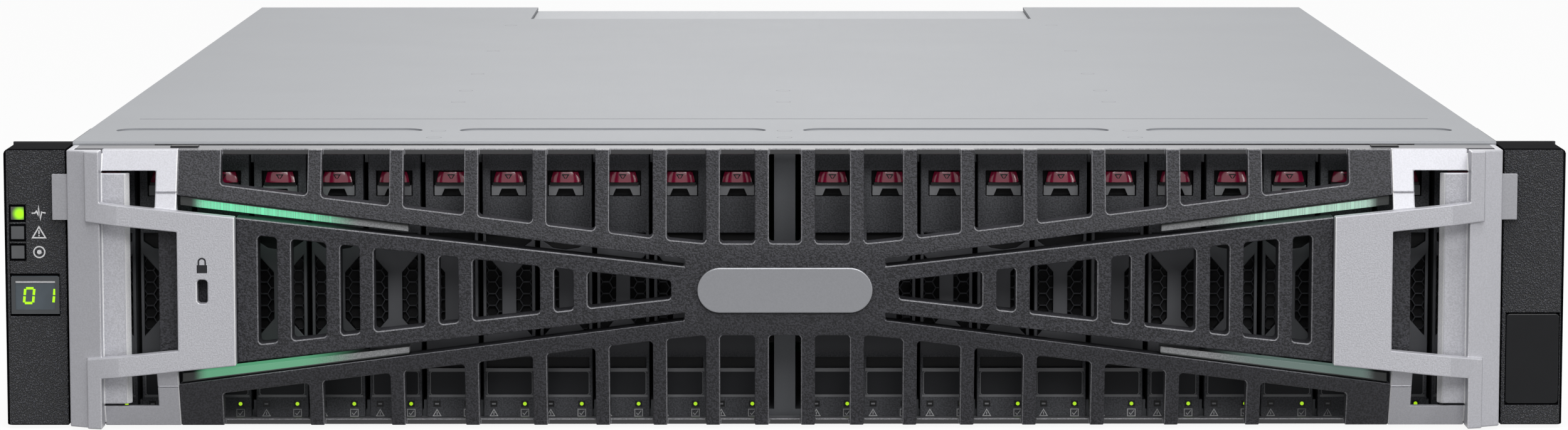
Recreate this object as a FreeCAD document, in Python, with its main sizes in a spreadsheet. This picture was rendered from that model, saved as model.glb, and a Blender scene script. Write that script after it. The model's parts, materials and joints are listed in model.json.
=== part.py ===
import FreeCAD, Part
import math
import os
import re
import Sketcher

# A two-unit rack storage array: 24 small drives behind a lift-off front bezel, a midplane, and two controllers
# between two power and cooling modules at the back. Millimetres. X runs across the rack, the front faces -Y.
# Everything is drawn from the rack flange's seat (y = 0), the base (z = 0) and the middle (x = 0). The finished
# pieces are then shifted along Y by flange_y, so that the frame's origin lies under the middle of the object.
SIZES = {
    # rack flange and folded sheet case
    "rack_span": 482.6,
    "ear_reach": 19.8,
    "body_height": 87.9,
    "body_depth": 576.8,
    "body_front": 11.0,
    "sheet": 1.2,
    "flange_sheet": 2.0,
    "flange_margin": 0.9,
    "ear_leg": 42.0,
    "ear_leg_sheet": 1.5,
    "bolt_edge": 8.75,
    "bolt_inset": 5.85,
    "bolt_radius": 3.3,
    "bolt_slot": 10.0,
    "fit": 0.3,
    "lens_fit": 0.1,
    "cut_over": 1.0,
    # cover
    "notch_inset": 6.5,
    "notch_depth": 67.0,
    "lip_round": 0.84,
    "rib_edge": 2.9,
    "rib_gap": 11.8,
    "rib_width": 13.0,
    "rib_setback": 20.0,
    "rib_depth": 0.5,
    "seam_setback": 64.0,
    "seam_width": 1.2,
    "seam_margin": 11.5,
    "seam_depth": 0.3,
    # drives and their bay
    "bay_middle": 29.7,
    "bay_edge": 9.87,
    "drive_gap": 1.58,
    "drive_low": 3.5,
    "drive_over": 3.9,
    "lip_depth": 3.6,
    "lip_low": 2.0,
    "lip_high": 0.8,
    "rail_inset": 0.6,
    "carrier_rail": 5.325,
    "drive_face": 12.0,
    "face_depth": 24.0,
    "disk_depth": 100.35,
    "disk_start": 16.0,
    "button_drop": 8.7,
    "button_height": 3.2,
    "button_wide": 9.2,
    "button_narrow": 7.7,
    "button_proud": 0.7,
    "hatch_width": 11.3,
    "hatch_drop": 13.1,
    "hatch_height": 8.0,
    "hatch_depth": 4.0,
    "arch_drop": 29.9,
    "arch_side": 2.7,
    "arch_knee": 4.0,
    "arch_sag": 4.7,
    "arch_point": 5.3,
    "arch_depth": 2.0,
    "grille_base": 23.5,
    "grille_drop": 31.5,
    "grille_fork": 5.5,
    "grille_depth": 3.0,
    "spine_bar": 4.45,
    "side_wall": 1.0,
    "band_base": 13.4,
    "band_height": 3.4,
    "band_depth": 1.0,
    "guide_rib": 0.9,
    "guide_rise": 3.0,
    "guide_setback": 4.0,
    "center_post": 6.6,
    "board": 3.0,
    "board_margin": 1.5,
    "vent_width": 24.0,
    "vent_height": 12.0,
    "vent_rise": 12.5,
    "plug_depth": 4.5,
    "plug_width": 5.0,
    "plug_height": 34.0,
    # ear caps
    "cap_depth": 25.0,
    "cap_wall": 1.2,
    "cap_front_wall": 2.2,
    "cap_gap": 0.8,
    "cap_round": 2.0,
    "lamp": 4.6,
    "lamp_edge": 2.0,
    "lamp_pitch": 6.05,
    "lamp_drop": 17.6,
    "screen_width": 14.8,
    "screen_height": 12.4,
    "screen_drop": 51.5,
    "screen_depth": 1.0,
    "label_width": 16.4,
    "label_height": 28.1,
    "label_base": 7.5,
    "label_depth": 0.7,
    # bezel lattice
    "bezel_side": 0.3,
    "bezel_margin": 0.95,
    "bezel_gap": 0.2,
    "lattice_front": 31.5,
    "lattice_depth": 9.0,
    "crown_front": 25.6,
    "lattice_inset": 34.2,
    "mullion": 4.4,
    "corner": 1.2,
    "rim": 1.8,
    "rim_setback": 7.7,
    "center_cell": 9.88,
    "cell_inset": 47.5,
    "cell_extra": 3.4,
    "cell_growth": 1.117,
    "cell_floor": 14.3,
    "cell_knee": 26.9,
    "cell_slope": 0.1233,
    "hub_half": 31.0,
    "slot_rise": 9.6,
    "slot_slope": 0.1269,
    "spine_rise": 7.25,
    "spine_slope": 0.1104,
    "spine_inset": 52.3,
    "spine_border": 4.85,
    "tail_inset": 28.2,
    "tail_half": 20.0,
    "tail_front": 29.8,
    "slit_inset": 58.9,
    "slit": 5.9,
    "panel_inner": 35.1,
    "panel_first": 10.7,
    "rail_back": 13.0,
    "low_rail": 2.1,
    "pipe_inset": 35.0,
    "pipe_length": 70.2,
    "pipe_tall": 3.0,
    "pipe_short": 2.3,
    "pipe_front": 29.5,
    "badge_width": 54.0,
    "badge_height": 14.0,
    "badge_proud": 1.2,
    # bezel brackets, measured inwards from the bezel's side and down from its upper edge
    "loop_front": 36.0,
    "loop_width": 34.5,
    "knee_inset": 16.2,
    "root_inset": 6.0,
    "root_front": 33.2,
    "loop_back": 24.5,
    "loop_arm": 4.5,
    "arm_down": 20.0,
    "arm_slope": 0.1025,
    "arm_drop": 6.4,
    "crease_front": 28.6,
    "crease_down": 7.1,
    "plate_sheet": 2.5,
    "gap_near": 17.8,
    "gap_bevel": 1.5,
    "gap_far": 27.5,
    "gap_down": 6.4,
    "leg_down": 12.8,
    "strut_front": 30.0,
    "strut_root": 33.5,
    "strut_sheet": 2.0,
    "strut_reach": 18.5,
    "post_inset": 10.6,
    "post_wall": 2.0,
    "side_front": 28.0,
    "side_root": 31.0,
    "key_width": 3.2,
    "key_height": 7.4,
    "key_inset": 42.2,
    "key_corner": 1.05,
    "key_depth": 6.0,
    "tab_base": 21.2,
    "tab_height": 14.2,
    "tab_reach": 4.8,
    "tab_thick": 1.5,
    "tab_tail": 9.0,
    "head_rise": 2.0,
    "head_depth": 2.0,
    "head_room": 2.8,
    # rear bays and modules
    "psu_bay": 111.5,
    "module_clear": 7.95,
    "module_gap": 0.4,
    "case_sheet": 1.0,
    "panel_sheet": 1.6,
    "socket_width": 60.0,
    "socket_height": 14.0,
    "pcb_margin": 6.0,
    "pcb_sheet": 1.6,
    "pcb_setback": 63.2,
    "cage_width": 15.0,
    "cage_height": 10.6,
    "cage_depth": 46.0,
    "cage_wall": 0.7,
    "cage_pitch": 16.4,
    "cage_edge": 31.0,
    "jack_width": 16.0,
    "jack_height": 13.6,
    "jack_depth": 21.0,
    "jack_gap": 38.8,
    "sas_width": 19.0,
    "sas_height": 10.0,
    "sas_depth": 30.0,
    "sas_gap": 34.0,
    "slot_width": 3.0,
    "slot_height": 13.0,
    "slot_pitch": 6.0,
    "slot_down": 5.0,
    "lever_length": 40.0,
    "lever_sheet": 5.0,
    "lever_height": 8.0,
    "lever_down": 4.35,
    "lever_edge": 8.0,
    "lever_clear": 0.6,
    "pivot_radius": 1.5,
    "pivot_play": 0.06,
    "lug_height": 2.4,
    "fan_radius": 29.0,
    "fan_edge": 35.0,
    "hub_radius": 12.0,
    "blade_root": 9.6,
    "rotor_gap": 1.6,
    "rotor_depth": 20.0,
    "rotor_clear": 2.0,
    "shaft_radius": 2.0,
    "shaft_play": 0.06,
    "blade": 2.0,
    "blade_rise": 6.0,
    "louvre_pitch": 6.4,
    "louvre_bar": 2.0,
    "louvre_hub": 6.0,
    "inlet_width": 27.0,
    "inlet_height": 20.0,
    "inlet_depth": 20.0,
    "inlet_wall": 1.6,
    "inlet_base": 10.0,
    "inlet_edge": 21.0,
    "handle_reach": 26.1,
    "handle_bar": 6.0,
    "handle_width": 14.0,
    "handle_height": 40.0,
    "handle_down": 4.7,
    "handle_edge": 28.0,
    "latch_width": 8.0,
    "latch_height": 13.0,
    "latch_down": 19.7,
    "latch_reach": 9.0,
    "latch_edge": 12.0,
    "latch_travel": 4.0,
    "latch_stem": 4.0,
}
BAY_DRIVES = 12
LATTICE_CELLS = 8
SPINE_PAIRS = 4
HOST_PORTS = 4
FAN_BLADES = 7
VENTS = 11
PANEL_SLOTS = 15
LOUVRES = 4
STATUS_LAMPS = 3
NEAR = 0.01

# Sizes and places that follow from the sizes above. Heights on a drive or a module are measured from its own base,
# those on the bezel from its mid-line.
PLACES = {
    "body_half": "rack_span / 2 - ear_reach",
    "bolt_span": "rack_span - 2 * bolt_edge",
    "bolt_rise": "body_height - 2 * bolt_inset",
    "rib_pitch": "(body_half - rib_edge) / 2",
    "rib_length": "rib_pitch - rib_gap",
    "wall_middle": "body_half - psu_bay",
    "notch_width": "2 * (wall_middle - notch_inset)",
    "drive_pitch": f"(body_half - sheet - bay_edge - bay_middle / 2) / {BAY_DRIVES - 1}",
    "drive_width": "drive_pitch - drive_gap",
    "drive_height": "body_height - drive_low - drive_over",
    "disk_width": "drive_width - 2 * rail_inset",
    "button_base": "drive_height - button_drop",
    "hatch_base": "drive_height - hatch_drop",
    "arch_base": "drive_height - arch_drop",
    "grille_top": "drive_height - grille_drop",
    "vent_pitch": "2 * drive_pitch",
    "board_front": "disk_start + disk_depth + plug_depth + bezel_gap",
    "board_back": "board_front + board",
    "module_front": "board_back + module_clear",
    "ear_top": "body_height - flange_margin",
    "lamp_top": "ear_top - lamp_drop",
    "screen_base": "ear_top - screen_drop",
    "bezel_half": "body_half - bezel_side",
    "bezel_rise": "body_height / 2 - bezel_margin",
    "lattice_end": "bezel_half - lattice_inset",
    "last_cell_end": "bezel_half - cell_inset",
    "first_cell": f"(last_cell_end - cell_extra - center_cell / 2 - {LATTICE_CELLS} * mullion)"
                  f" * (cell_growth - 1) / (cell_growth ^ {LATTICE_CELLS} - 1)",
    "spine_end": "bezel_half - spine_inset",
    "tail_end": "bezel_half - tail_inset",
    "slit_end": "bezel_half - slit_inset",
    "panel_step": f"(slit_end - panel_inner - {SPINE_PAIRS} * (slit + panel_first)"
                  f" - {2 * SPINE_PAIRS - 1} * mullion) / {SPINE_PAIRS * (SPINE_PAIRS - 1) // 2}",
    "pipe_outer": "bezel_half - pipe_inset",
    "pipe_inner": "pipe_outer - pipe_length",
    "loop_inner": "spine_end",
    "loop_edge": "bezel_half - loop_width",
    "loop_knee": "bezel_half - knee_inset",
    "loop_root": "bezel_half - root_inset",
    "post_inner": "bezel_half - post_inset",
    "gap_outer": "bezel_half - gap_near",
    "gap_inner": "bezel_half - gap_far",
    "gap_top": "bezel_rise - gap_down",
    "crease": "bezel_rise - crease_down",
    "leg_base": "bezel_rise - leg_down",
    "leg_front": "crown_front + (crease_front - crown_front) * leg_down / crease_down",
    "strut_base": "bezel_rise - strut_reach",
    "arm_top_inner": "bezel_rise - arm_down",
    "key_middle": "bezel_half - key_inset",
    "case_half": "wall_middle - sheet / 2 - module_gap",
    "case_high": "(body_height - 3 * sheet) / 2 - 2 * module_gap",
    "cage_first": "cage_edge - case_half",
    "jack_place": f"cage_first + {HOST_PORTS - 1} * cage_pitch + jack_gap",
    "sas_place": "jack_place + sas_gap",
    "lever_base": "case_high - lever_down - lever_height",
    "psu_half": "(psu_bay - sheet * 1.5) / 2 - module_gap",
    "psu_high": "body_height - 2 * sheet - 2 * module_gap",
    "fan_rise": "psu_high / 2",
    "handle_base": "psu_high - handle_down - handle_height",
    "latch_base": "psu_high - latch_down - latch_height",
}

doc = FreeCAD.newDocument("storage_array")
sheet = doc.addObject("Spreadsheet::Sheet", "dims")
for row, (alias, size) in enumerate(SIZES.items(), 1):
    sheet.set(f"A{row}", alias)
    sheet.set(f"B{row}", str(size))
    sheet.setAlias(f"B{row}", alias)
doc.recompute()

ALIAS = re.compile(r"[a-z][a-z_]*")
pieces = []


def tie(text):
    """An expression in which each named size refers to its cell of the sheet, and each named place to its sizes."""

    def written_out(match):
        name = match.group()
        if name in PLACES:
            return f"({tie(PLACES[name])})"
        return "dims." + name if name in SIZES else name

    return ALIAS.sub(written_out, text)


def value(text):
    """The expression's present value in millimetres."""
    number = sheet.evalExpression(tie(text))
    return float(getattr(number, "Value", number))


# Places that several pieces share, as expressions of the sizes.
FLANGE_Y = "((loop_front - body_depth - handle_reach) / 2)"
MID = "(body_height / 2)"
HALF = "body_half"
COVER_UNDER = "(body_height - sheet)"
LATTICE_BACK = "(lattice_depth - lattice_front)"
DRIVE_TOP = "(drive_low + drive_height)"
GUIDE_LOW = "(drive_low - bezel_gap)"
GUIDE_HIGH = f"({DRIVE_TOP} + bezel_gap)"


def new_body(name):
    return doc.addObject("PartDesign::Body", name)


def new_sketch(body, name, plane, offset):
    """A sketch on one of the body's own origin planes, moved along that plane's normal."""
    sketch = body.newObject("Sketcher::SketchObject", name)
    origin = next(f for f in body.Origin.OriginFeatures if f.Role == plane + "_Plane")
    sketch.AttachmentSupport = [(origin, "")]
    sketch.MapMode = "FlatFace"
    sketch.setExpression("AttachmentOffset.Base.z", tie(offset))
    return sketch


def draw(sketch, outlines):
    """Closed outlines of straight lines, each corner held from the origin by two bound distances."""
    lines, joins, pins, sizes = [], [], [], []
    for corners in outlines:
        first, count = len(lines), len(corners)
        points = [FreeCAD.Vector(value(x), value(y), 0) for x, y in corners]
        for i, (x, y) in enumerate(corners):
            lines.append(Part.LineSegment(points[i], points[(i + 1) % count]))
            joins.append(Sketcher.Constraint("Coincident", first + i, 2, first + (i + 1) % count, 1))
            pins.append(Sketcher.Constraint("DistanceX", -1, 1, first + i, 1, points[i].x))
            pins.append(Sketcher.Constraint("DistanceY", -1, 1, first + i, 1, points[i].y))
            sizes += [x, y]
    sketch.addGeometry(lines, False)
    sketch.addConstraint(joins + pins)
    for i, size in enumerate(sizes):
        sketch.setExpression(f"Constraints[{len(joins) + i}]", tie(size))


def ring(sketch, x, y, radius):
    """A circle with its centre and radius bound."""
    place = FreeCAD.Vector(value(x), value(y), 0)
    circle = sketch.addGeometry(Part.Circle(place, FreeCAD.Vector(0, 0, 1), value(radius)), False)
    for kind, size, start in (("DistanceX", x, place.x), ("DistanceY", y, place.y)):
        at = sketch.addConstraint(Sketcher.Constraint(kind, -1, 1, circle, 3, start))
        sketch.setExpression(f"Constraints[{at}]", tie(size))
    at = sketch.addConstraint(Sketcher.Constraint("Radius", circle, value(radius)))
    sketch.setExpression(f"Constraints[{at}]", tie(radius))


def obround(sketch, x, y, length, radius):
    """A slot with round ends, lying along the sketch's first axis."""
    reach = f"(({length}) / 2 - ({radius}))"
    row, r, up = value(y), value(radius), FreeCAD.Vector(0, 0, 1)
    ends = [value(f"({x}) - {reach}"), value(f"({x}) + {reach}")]
    arcs = []
    for middle, start in zip(ends, (math.pi / 2, -math.pi / 2)):
        circle = Part.Circle(FreeCAD.Vector(middle, row, 0), up, r)
        arcs.append(sketch.addGeometry(Part.ArcOfCircle(circle, start, start + math.pi), False))
    low = sketch.addGeometry(
        Part.LineSegment(FreeCAD.Vector(ends[0], row - r, 0), FreeCAD.Vector(ends[1], row - r, 0)), False
    )
    high = sketch.addGeometry(
        Part.LineSegment(FreeCAD.Vector(ends[1], row + r, 0), FreeCAD.Vector(ends[0], row + r, 0)), False
    )
    sketch.addConstraint(
        [
            Sketcher.Constraint("Tangent", arcs[0], 2, low, 1),
            Sketcher.Constraint("Tangent", low, 2, arcs[1], 1),
            Sketcher.Constraint("Tangent", arcs[1], 2, high, 1),
            Sketcher.Constraint("Tangent", high, 2, arcs[0], 1),
        ]
    )
    held = (
        ("DistanceX", arcs[0], f"({x}) - {reach}"),
        ("DistanceY", arcs[0], y),
        ("DistanceX", arcs[1], f"({x}) + {reach}"),
    )
    for kind, arc, size in held:
        at = sketch.addConstraint(Sketcher.Constraint(kind, -1, 1, arc, 3, value(size)))
        sketch.setExpression(f"Constraints[{at}]", tie(size))
    at = sketch.addConstraint(Sketcher.Constraint("Radius", arcs[0], r))
    sketch.setExpression(f"Constraints[{at}]", tie(radius))


def feature(body, kind, name, sketch, length):
    """A pad or a pocket of the sketch with its length bound."""
    made = body.newObject("PartDesign::" + kind, name)
    made.Profile = sketch
    made.setExpression("Length", tie(length))
    return made


def pad(body, name, plane, low, high, outlines=(), shape=None):
    """Material between two heights: along Z on an XY sketch, along Y on an XZ one, along X on a YZ one."""
    sketch = new_sketch(body, name + "_sketch", plane, f"-({high})" if plane == "XZ" else low)
    draw(sketch, outlines) if outlines else shape(sketch)
    return feature(body, "Pad", name, sketch, f"({high}) - ({low})")


def pocket(body, name, plane, low, high, outlines=(), shape=None):
    """A cut between two heights, along the same axes as pad."""
    sketch = new_sketch(body, name + "_sketch", plane, f"-({low})" if plane == "XZ" else high)
    draw(sketch, outlines) if outlines else shape(sketch)
    return feature(body, "Pocket", name, sketch, f"({high}) - ({low})")


def rect(x0, x1, y0, y1):
    return [(x0, y0), (x1, y0), (x1, y1), (x0, y1)]


def mirrored(corners):
    """The same outline on the other side of the sketch's second axis."""
    return [(f"-({x})", y) for x, y in corners]


def flipped(corners):
    """The same outline on the other side of the sketch's first axis."""
    return [(x, f"-({y})") for x, y in corners]


def dress(body, name, kind, size, picks):
    """A fillet or a chamfer on those edges of the body so far that the test picks."""
    doc.recompute()
    base = body.Tip
    names = [f"Edge{i}" for i, edge in enumerate(base.Shape.Edges, 1) if picks(edge)]
    made = body.newObject("PartDesign::" + kind, name)
    made.Base = (base, names)
    made.setExpression("Radius" if kind == "Fillet" else "Size", tie(size))
    return made


def runs_along(edge, axis):
    """Whether a straight edge lies along the axis, 0 for X, 1 for Y or 2 for Z."""
    if edge.Curve.TypeId != "Part::GeomLine":
        return False
    return abs(abs(edge.Curve.Direction[axis]) - 1) < 1e-6


def place(piece, x="0", y="0", z="0"):
    """Set the piece's placement in the finished frame, from its own drawing frame."""
    for axis, size in zip("xyz", (x, f"({y}) + {FLANGE_Y}", z)):
        piece.setExpression(f"Placement.Base.{axis}", tie(size))


def hand_over(piece, label, x="0", y="0", z="0"):
    """Name a finished sub-part after its file and put it where it belongs."""
    piece.Label = label
    place(piece, x, y, z)
    pieces.append(piece)


def group(label, members, x="0", y="0", z="0"):
    """A sub-part of several solids, or one more copy of a repeated one."""
    made = doc.addObject("Part::Compound", label + "_group")
    made.Links = members
    hand_over(made, label, x, y, z)
    return made


def mirror_of(source, name, normal=FreeCAD.Vector(1, 0, 0)):
    """The opposite-handed twin of a piece, in the same drawing frame."""
    made = doc.addObject("Part::Mirroring", name)
    made.Source = source
    made.Normal = normal
    return made


# Chassis tray: one sheet folded into a channel, open at the front, the back and the top.
tray = new_body("tray")
channel = [
    (f"-{HALF}", "0"),
    (HALF, "0"),
    (HALF, COVER_UNDER),
    (f"{HALF} - sheet", COVER_UNDER),
    (f"{HALF} - sheet", "sheet"),
    (f"sheet - {HALF}", "sheet"),
    (f"sheet - {HALF}", COVER_UNDER),
    (f"-{HALF}", COVER_UNDER),
]
pad(tray, "tray_channel", "XZ", "-body_front", "body_depth", [channel])
hand_over(tray, "chassis_tray")

# Top cover: a flat sheet on the tray's walls, with four pressed ribs near the front and a wide notch at the back.
cover = new_body("cover")
plan = [
    (f"-{HALF}", "-body_front"),
    (HALF, "-body_front"),
    (HALF, "body_depth"),
    ("notch_width / 2", "body_depth"),
    ("notch_width / 2", "body_depth - notch_depth"),
    ("-notch_width / 2", "body_depth - notch_depth"),
    ("-notch_width / 2", "body_depth"),
    (f"-{HALF}", "body_depth"),
]
pad(cover, "cover_sheet", "XY", COVER_UNDER, "body_height", [plan])


def cover_ribs(sketch):
    for step in (-1.5, -0.5, 0.5, 1.5):
        obround(sketch, f"{step} * rib_pitch", "rib_setback + rib_width / 2", "rib_length", "rib_width / 2")


pocket(cover, "cover_rib", "XY", "body_height - rib_depth", "body_height", shape=cover_ribs)
pocket(cover, "cover_seam", "XY", "body_height - seam_depth", "body_height",
       [rect(f"seam_margin - {HALF}", f"{HALF} - seam_margin", "seam_setback", "seam_setback + seam_width")])
dress(cover, "cover_lip", "Fillet", "lip_round",
      lambda e: runs_along(e, 0) and e.BoundBox.YMax < value("-body_front") + NEAR
      and e.BoundBox.ZMin > value("body_height") - NEAR)
hand_over(cover, "top_cover")

# Drive guides: a lower and an upper sheet with a low rib between neighbouring drives, and the post between the
# two halves of the bay.
GUIDE_HALF = f"({HALF} - sheet)"
GUIDE_FRONT = "(guide_setback - drive_face)"
RIB_INNER = "(bay_middle / 2 - drive_pitch / 2)"
RIB_SPAN = f"({BAY_DRIVES} * drive_pitch)"


def row_along_x(body, name, original, spacing, count):
    """Repeat a feature along +X."""
    doc.recompute()
    row = body.newObject("PartDesign::LinearPattern", name)
    row.Originals = [original]
    row.Direction = (next(f for f in body.Origin.OriginFeatures if f.Role == "X_Axis"), [""])
    row.Mode = "Spacing"
    row.setExpression("Offset", tie(spacing))
    row.Occurrences = count
    body.Tip = row
    return row


def guide_sheet(name, low, high, rib_low, rib_high):
    body = new_body(name)
    pad(body, name + "_sheet", "XZ", GUIDE_FRONT, "board_front", [rect(f"-{GUIDE_HALF}", GUIDE_HALF, low, high)])
    for side, first in (("left", f"(-{RIB_INNER} - {RIB_SPAN})"), ("right", RIB_INNER)):
        rib = pad(body, f"{name}_{side}_rib", "XZ", GUIDE_FRONT, "board_front",
                  [rect(f"{first} - guide_rib / 2", f"{first} + guide_rib / 2", rib_low, rib_high)])
        row_along_x(body, f"{name}_{side}_ribs", rib, "drive_pitch", BAY_DRIVES + 1)
    return body


lower_guide = guide_sheet("lower_guide", "sheet", GUIDE_LOW, GUIDE_LOW, f"{GUIDE_LOW} + guide_rise")
upper_guide = guide_sheet("upper_guide", GUIDE_HIGH, COVER_UNDER, f"{GUIDE_HIGH} - guide_rise", GUIDE_HIGH)
middle_post = new_body("middle_post")
pad(middle_post, "post_bar", "XZ", GUIDE_FRONT, "board_front",
    [rect("-center_post / 2", "center_post / 2", GUIDE_LOW, GUIDE_HIGH)])
group("drive_guides", [lower_guide, upper_guide, middle_post])

# Midplane: one board across the case behind the drives, with air slots, and the plugs on both of its faces.
DRIVE_PLACES = [f"{side}(bay_middle / 2 + {i} * drive_pitch)"
                for side, order in (("-", range(BAY_DRIVES - 1, -1, -1)), ("", range(BAY_DRIVES)))
                for i in order]
midplane = new_body("midplane")
pad(midplane, "midplane_sheet", "XZ", "board_front", "board_back",
    [rect(f"board_margin - {HALF}", f"{HALF} - board_margin", "sheet", COVER_UNDER)])
vent_left = f"(-{(VENTS - 1) / 2} * vent_pitch)"
vents = [rect(f"{vent_left} - vent_width / 2", f"{vent_left} + vent_width / 2",
              f"{level} - vent_height / 2", f"{level} + vent_height / 2")
         for level in ("vent_rise", "(body_height - vent_rise)")]
vent = pocket(midplane, "midplane_vent", "XZ", "board_front - cut_over", "board_back + cut_over", vents)
row_along_x(midplane, "midplane_vents", vent, "vent_pitch", VENTS)
hand_over(midplane, "midplane_board")

drive_plug = new_body("drive_plug")
pad(drive_plug, "drive_plug_block", "XZ", "board_front - plug_depth", "board_front",
    [rect("-plug_width / 2", "plug_width / 2", f"{MID} - plug_height / 2", f"{MID} + plug_height / 2")])
module_plug = new_body("module_plug")
pad(module_plug, "module_plug_block", "XZ", "board_back", "module_front + sheet",
    [rect("-socket_width / 2", "socket_width / 2", "-socket_height / 2", "socket_height / 2")])
PSU_MIDDLE = f"((wall_middle + {HALF} - sheet / 2) / 2)"
LOWER_BAY = f"((sheet + {MID} - sheet / 2) / 2)"
plug_places = [(drive_plug, x, "0") for x in DRIVE_PLACES]
plug_places += [(module_plug, f"-{PSU_MIDDLE}", MID), (module_plug, PSU_MIDDLE, MID)]
plug_places += [(module_plug, "0", LOWER_BAY), (module_plug, "0", f"body_height - {LOWER_BAY}")]
plugs = []
for number, (source, x, z) in enumerate(plug_places, 1):
    copy = doc.addObject("Part::Compound", f"midplane_plug_{number}")
    copy.Links = [source]
    copy.setExpression("Placement.Base.x", tie(x))
    copy.setExpression("Placement.Base.z", tie(z))
    plugs.append(copy)
group("midplane_connectors", plugs)

# Rear bay partitions: two upright sheets beside the controllers and the shelf between the two controllers.
right_wall = new_body("right_partition")
pad(right_wall, "partition_sheet", "XZ", "board_back", "body_depth",
    [rect("wall_middle - sheet / 2", "wall_middle + sheet / 2", "sheet", COVER_UNDER)])
left_wall = mirror_of(right_wall, "left_partition")
shelf = new_body("controller_shelf")
pad(shelf, "shelf_sheet", "XZ", "board_back", "body_depth",
    [rect("sheet / 2 - wall_middle", "wall_middle - sheet / 2", f"{MID} - sheet / 2", f"{MID} + sheet / 2")])
group("bay_partitions", [left_wall, right_wall, shelf])

# Rack ears: folded flanges on the tray's sides, with round-ended slots for the rack screws.
ear = new_body("left_ear")
ear_plan = [
    ("rack_span / 2", "-flange_sheet"),
    (HALF, "-flange_sheet"),
    (HALF, "ear_leg"),
    (f"{HALF} + ear_leg_sheet", "ear_leg"),
    (f"{HALF} + ear_leg_sheet", "0"),
    ("rack_span / 2", "0"),
]
pad(ear, "ear_fold", "XY", "flange_margin", "ear_top", [mirrored(ear_plan)])


def screw_slots(sketch):
    for side in ("-", "+"):
        obround(sketch, "-bolt_span / 2", f"{MID} {side} bolt_rise / 2", "bolt_slot", "bolt_radius")


pocket(ear, "ear_slots", "XZ", "-flange_sheet - fit", "fit", shape=screw_slots)
group("left_rack_ear", [ear])
group("right_rack_ear", [mirror_of(ear, "right_ear")])

# Ear caps: moulded covers over the rack screws, open behind, with rounded outer edges. The left cap
# carries three status lamps and a small display, the right one a plain inlaid plate.
CAP_INNER = "(bezel_half + cap_gap)"
CAP_OUTER = "(rack_span / 2)"


def ear_cap(name, side):
    body = new_body(name)
    pad(body, name + "_block", "XZ", "-cap_depth", "-flange_sheet",
        [rect(f"{side}{CAP_OUTER}", f"{side}{CAP_INNER}", "flange_margin", "ear_top")])
    dress(body, name + "_round", "Fillet", "cap_round",
          lambda e: abs(e.BoundBox.Center.x) > value(CAP_OUTER) - NEAR
          and (runs_along(e, 2) and e.BoundBox.YMax < value("-cap_depth") + NEAR
               or runs_along(e, 1) and e.BoundBox.ZMin > value("ear_top") - NEAR))
    pocket(body, name + "_hollow", "XZ", "cap_front_wall - cap_depth", "-flange_sheet",
           [rect(f"{side}({CAP_OUTER} - cap_wall)", f"{side}({CAP_INNER} + cap_wall)",
                 "flange_margin + cap_wall", "ear_top - cap_wall")])
    return body


LAMP_OUTER = f"({CAP_OUTER} - lamp_edge)"
LAMP_TOPS = [f"(lamp_top - {i} * lamp_pitch)" for i in range(STATUS_LAMPS)]
SCREEN_INNER = f"({LAMP_OUTER} - screen_width)"
left_cap = ear_cap("left_cap", "-")
pocket(left_cap, "lamp_holes", "XZ", "-cap_depth", "cap_front_wall - cap_depth",
       [rect(f"-{LAMP_OUTER} - lens_fit", f"lamp - {LAMP_OUTER} + lens_fit",
             f"{top} - lamp - lens_fit", f"{top} + lens_fit") for top in LAMP_TOPS])
pocket(left_cap, "screen_seat", "XZ", "-cap_depth", "screen_depth - cap_depth",
       [rect(f"-{LAMP_OUTER} - lens_fit", f"lens_fit - {SCREEN_INNER}",
             "screen_base - lens_fit", "screen_base + screen_height + lens_fit")])
hand_over(left_cap, "left_ear_cap")

lenses = []
for number, top in enumerate(LAMP_TOPS, 1):
    lamp = new_body(f"lamp_{number}")
    pad(lamp, f"lamp_{number}_block", "XZ", "-cap_depth", "cap_front_wall - cap_depth",
        [rect(f"-{LAMP_OUTER}", f"lamp - {LAMP_OUTER}", f"{top} - lamp", top)])
    lenses.append(lamp)
screen = new_body("screen")
pad(screen, "screen_pane", "XZ", "lens_fit - cap_depth", "screen_depth - cap_depth",
    [rect(f"-{LAMP_OUTER}", f"-{SCREEN_INNER}", "screen_base", "screen_base + screen_height")])
group("status_lenses", lenses + [screen])

LABEL_MIDDLE = f"(({CAP_OUTER} + {CAP_INNER}) / 2)"
right_cap = ear_cap("right_cap", "")
pocket(right_cap, "label_seat", "XZ", "-cap_depth", "label_depth - cap_depth",
       [rect(f"{LABEL_MIDDLE} - label_width / 2 - lens_fit", f"{LABEL_MIDDLE} + label_width / 2 + lens_fit",
             "label_base - lens_fit", "label_base + label_height + lens_fit")])
hand_over(right_cap, "right_ear_cap")
label = new_body("label")
pad(label, "label_plate", "XZ", "-cap_depth", "label_depth - cap_depth",
    [rect(f"{LABEL_MIDDLE} - label_width / 2", f"{LABEL_MIDDLE} + label_width / 2",
          "label_base", "label_base + label_height")])
dress(label, "label_corners", "Fillet", "corner", lambda e: runs_along(e, 1))
hand_over(label, "label_blank")

# Bezel lattice, drawn about its mid-line: two tapering beams above and below a bow-tie spine, all joined at the
# hub. Upright mullions run from each beam to a set-back rim, and the cells grow towards the ends. The panels above
# and below the spine lean back from a fold along the beams to the bezel's edges. A plain tail at each end of the
# spine lies behind the bracket's loop.
CELL_TOP = "(bezel_rise - rim)"


def cell_start(number):
    grown = f"first_cell * (cell_growth ^ {number - 1} - 1) / (cell_growth - 1)"
    return f"(center_cell / 2 + {number} * mullion + {grown})"


def cell_end(number):
    if number == LATTICE_CELLS:
        return "last_cell_end"
    return f"({cell_start(number + 1)} - mullion)"


def cell_low(x):
    """The slanting lower edge of the upper cells, level near the hub."""
    return f"(cell_floor + cell_slope * max(0; {x} - cell_knee))"


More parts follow.
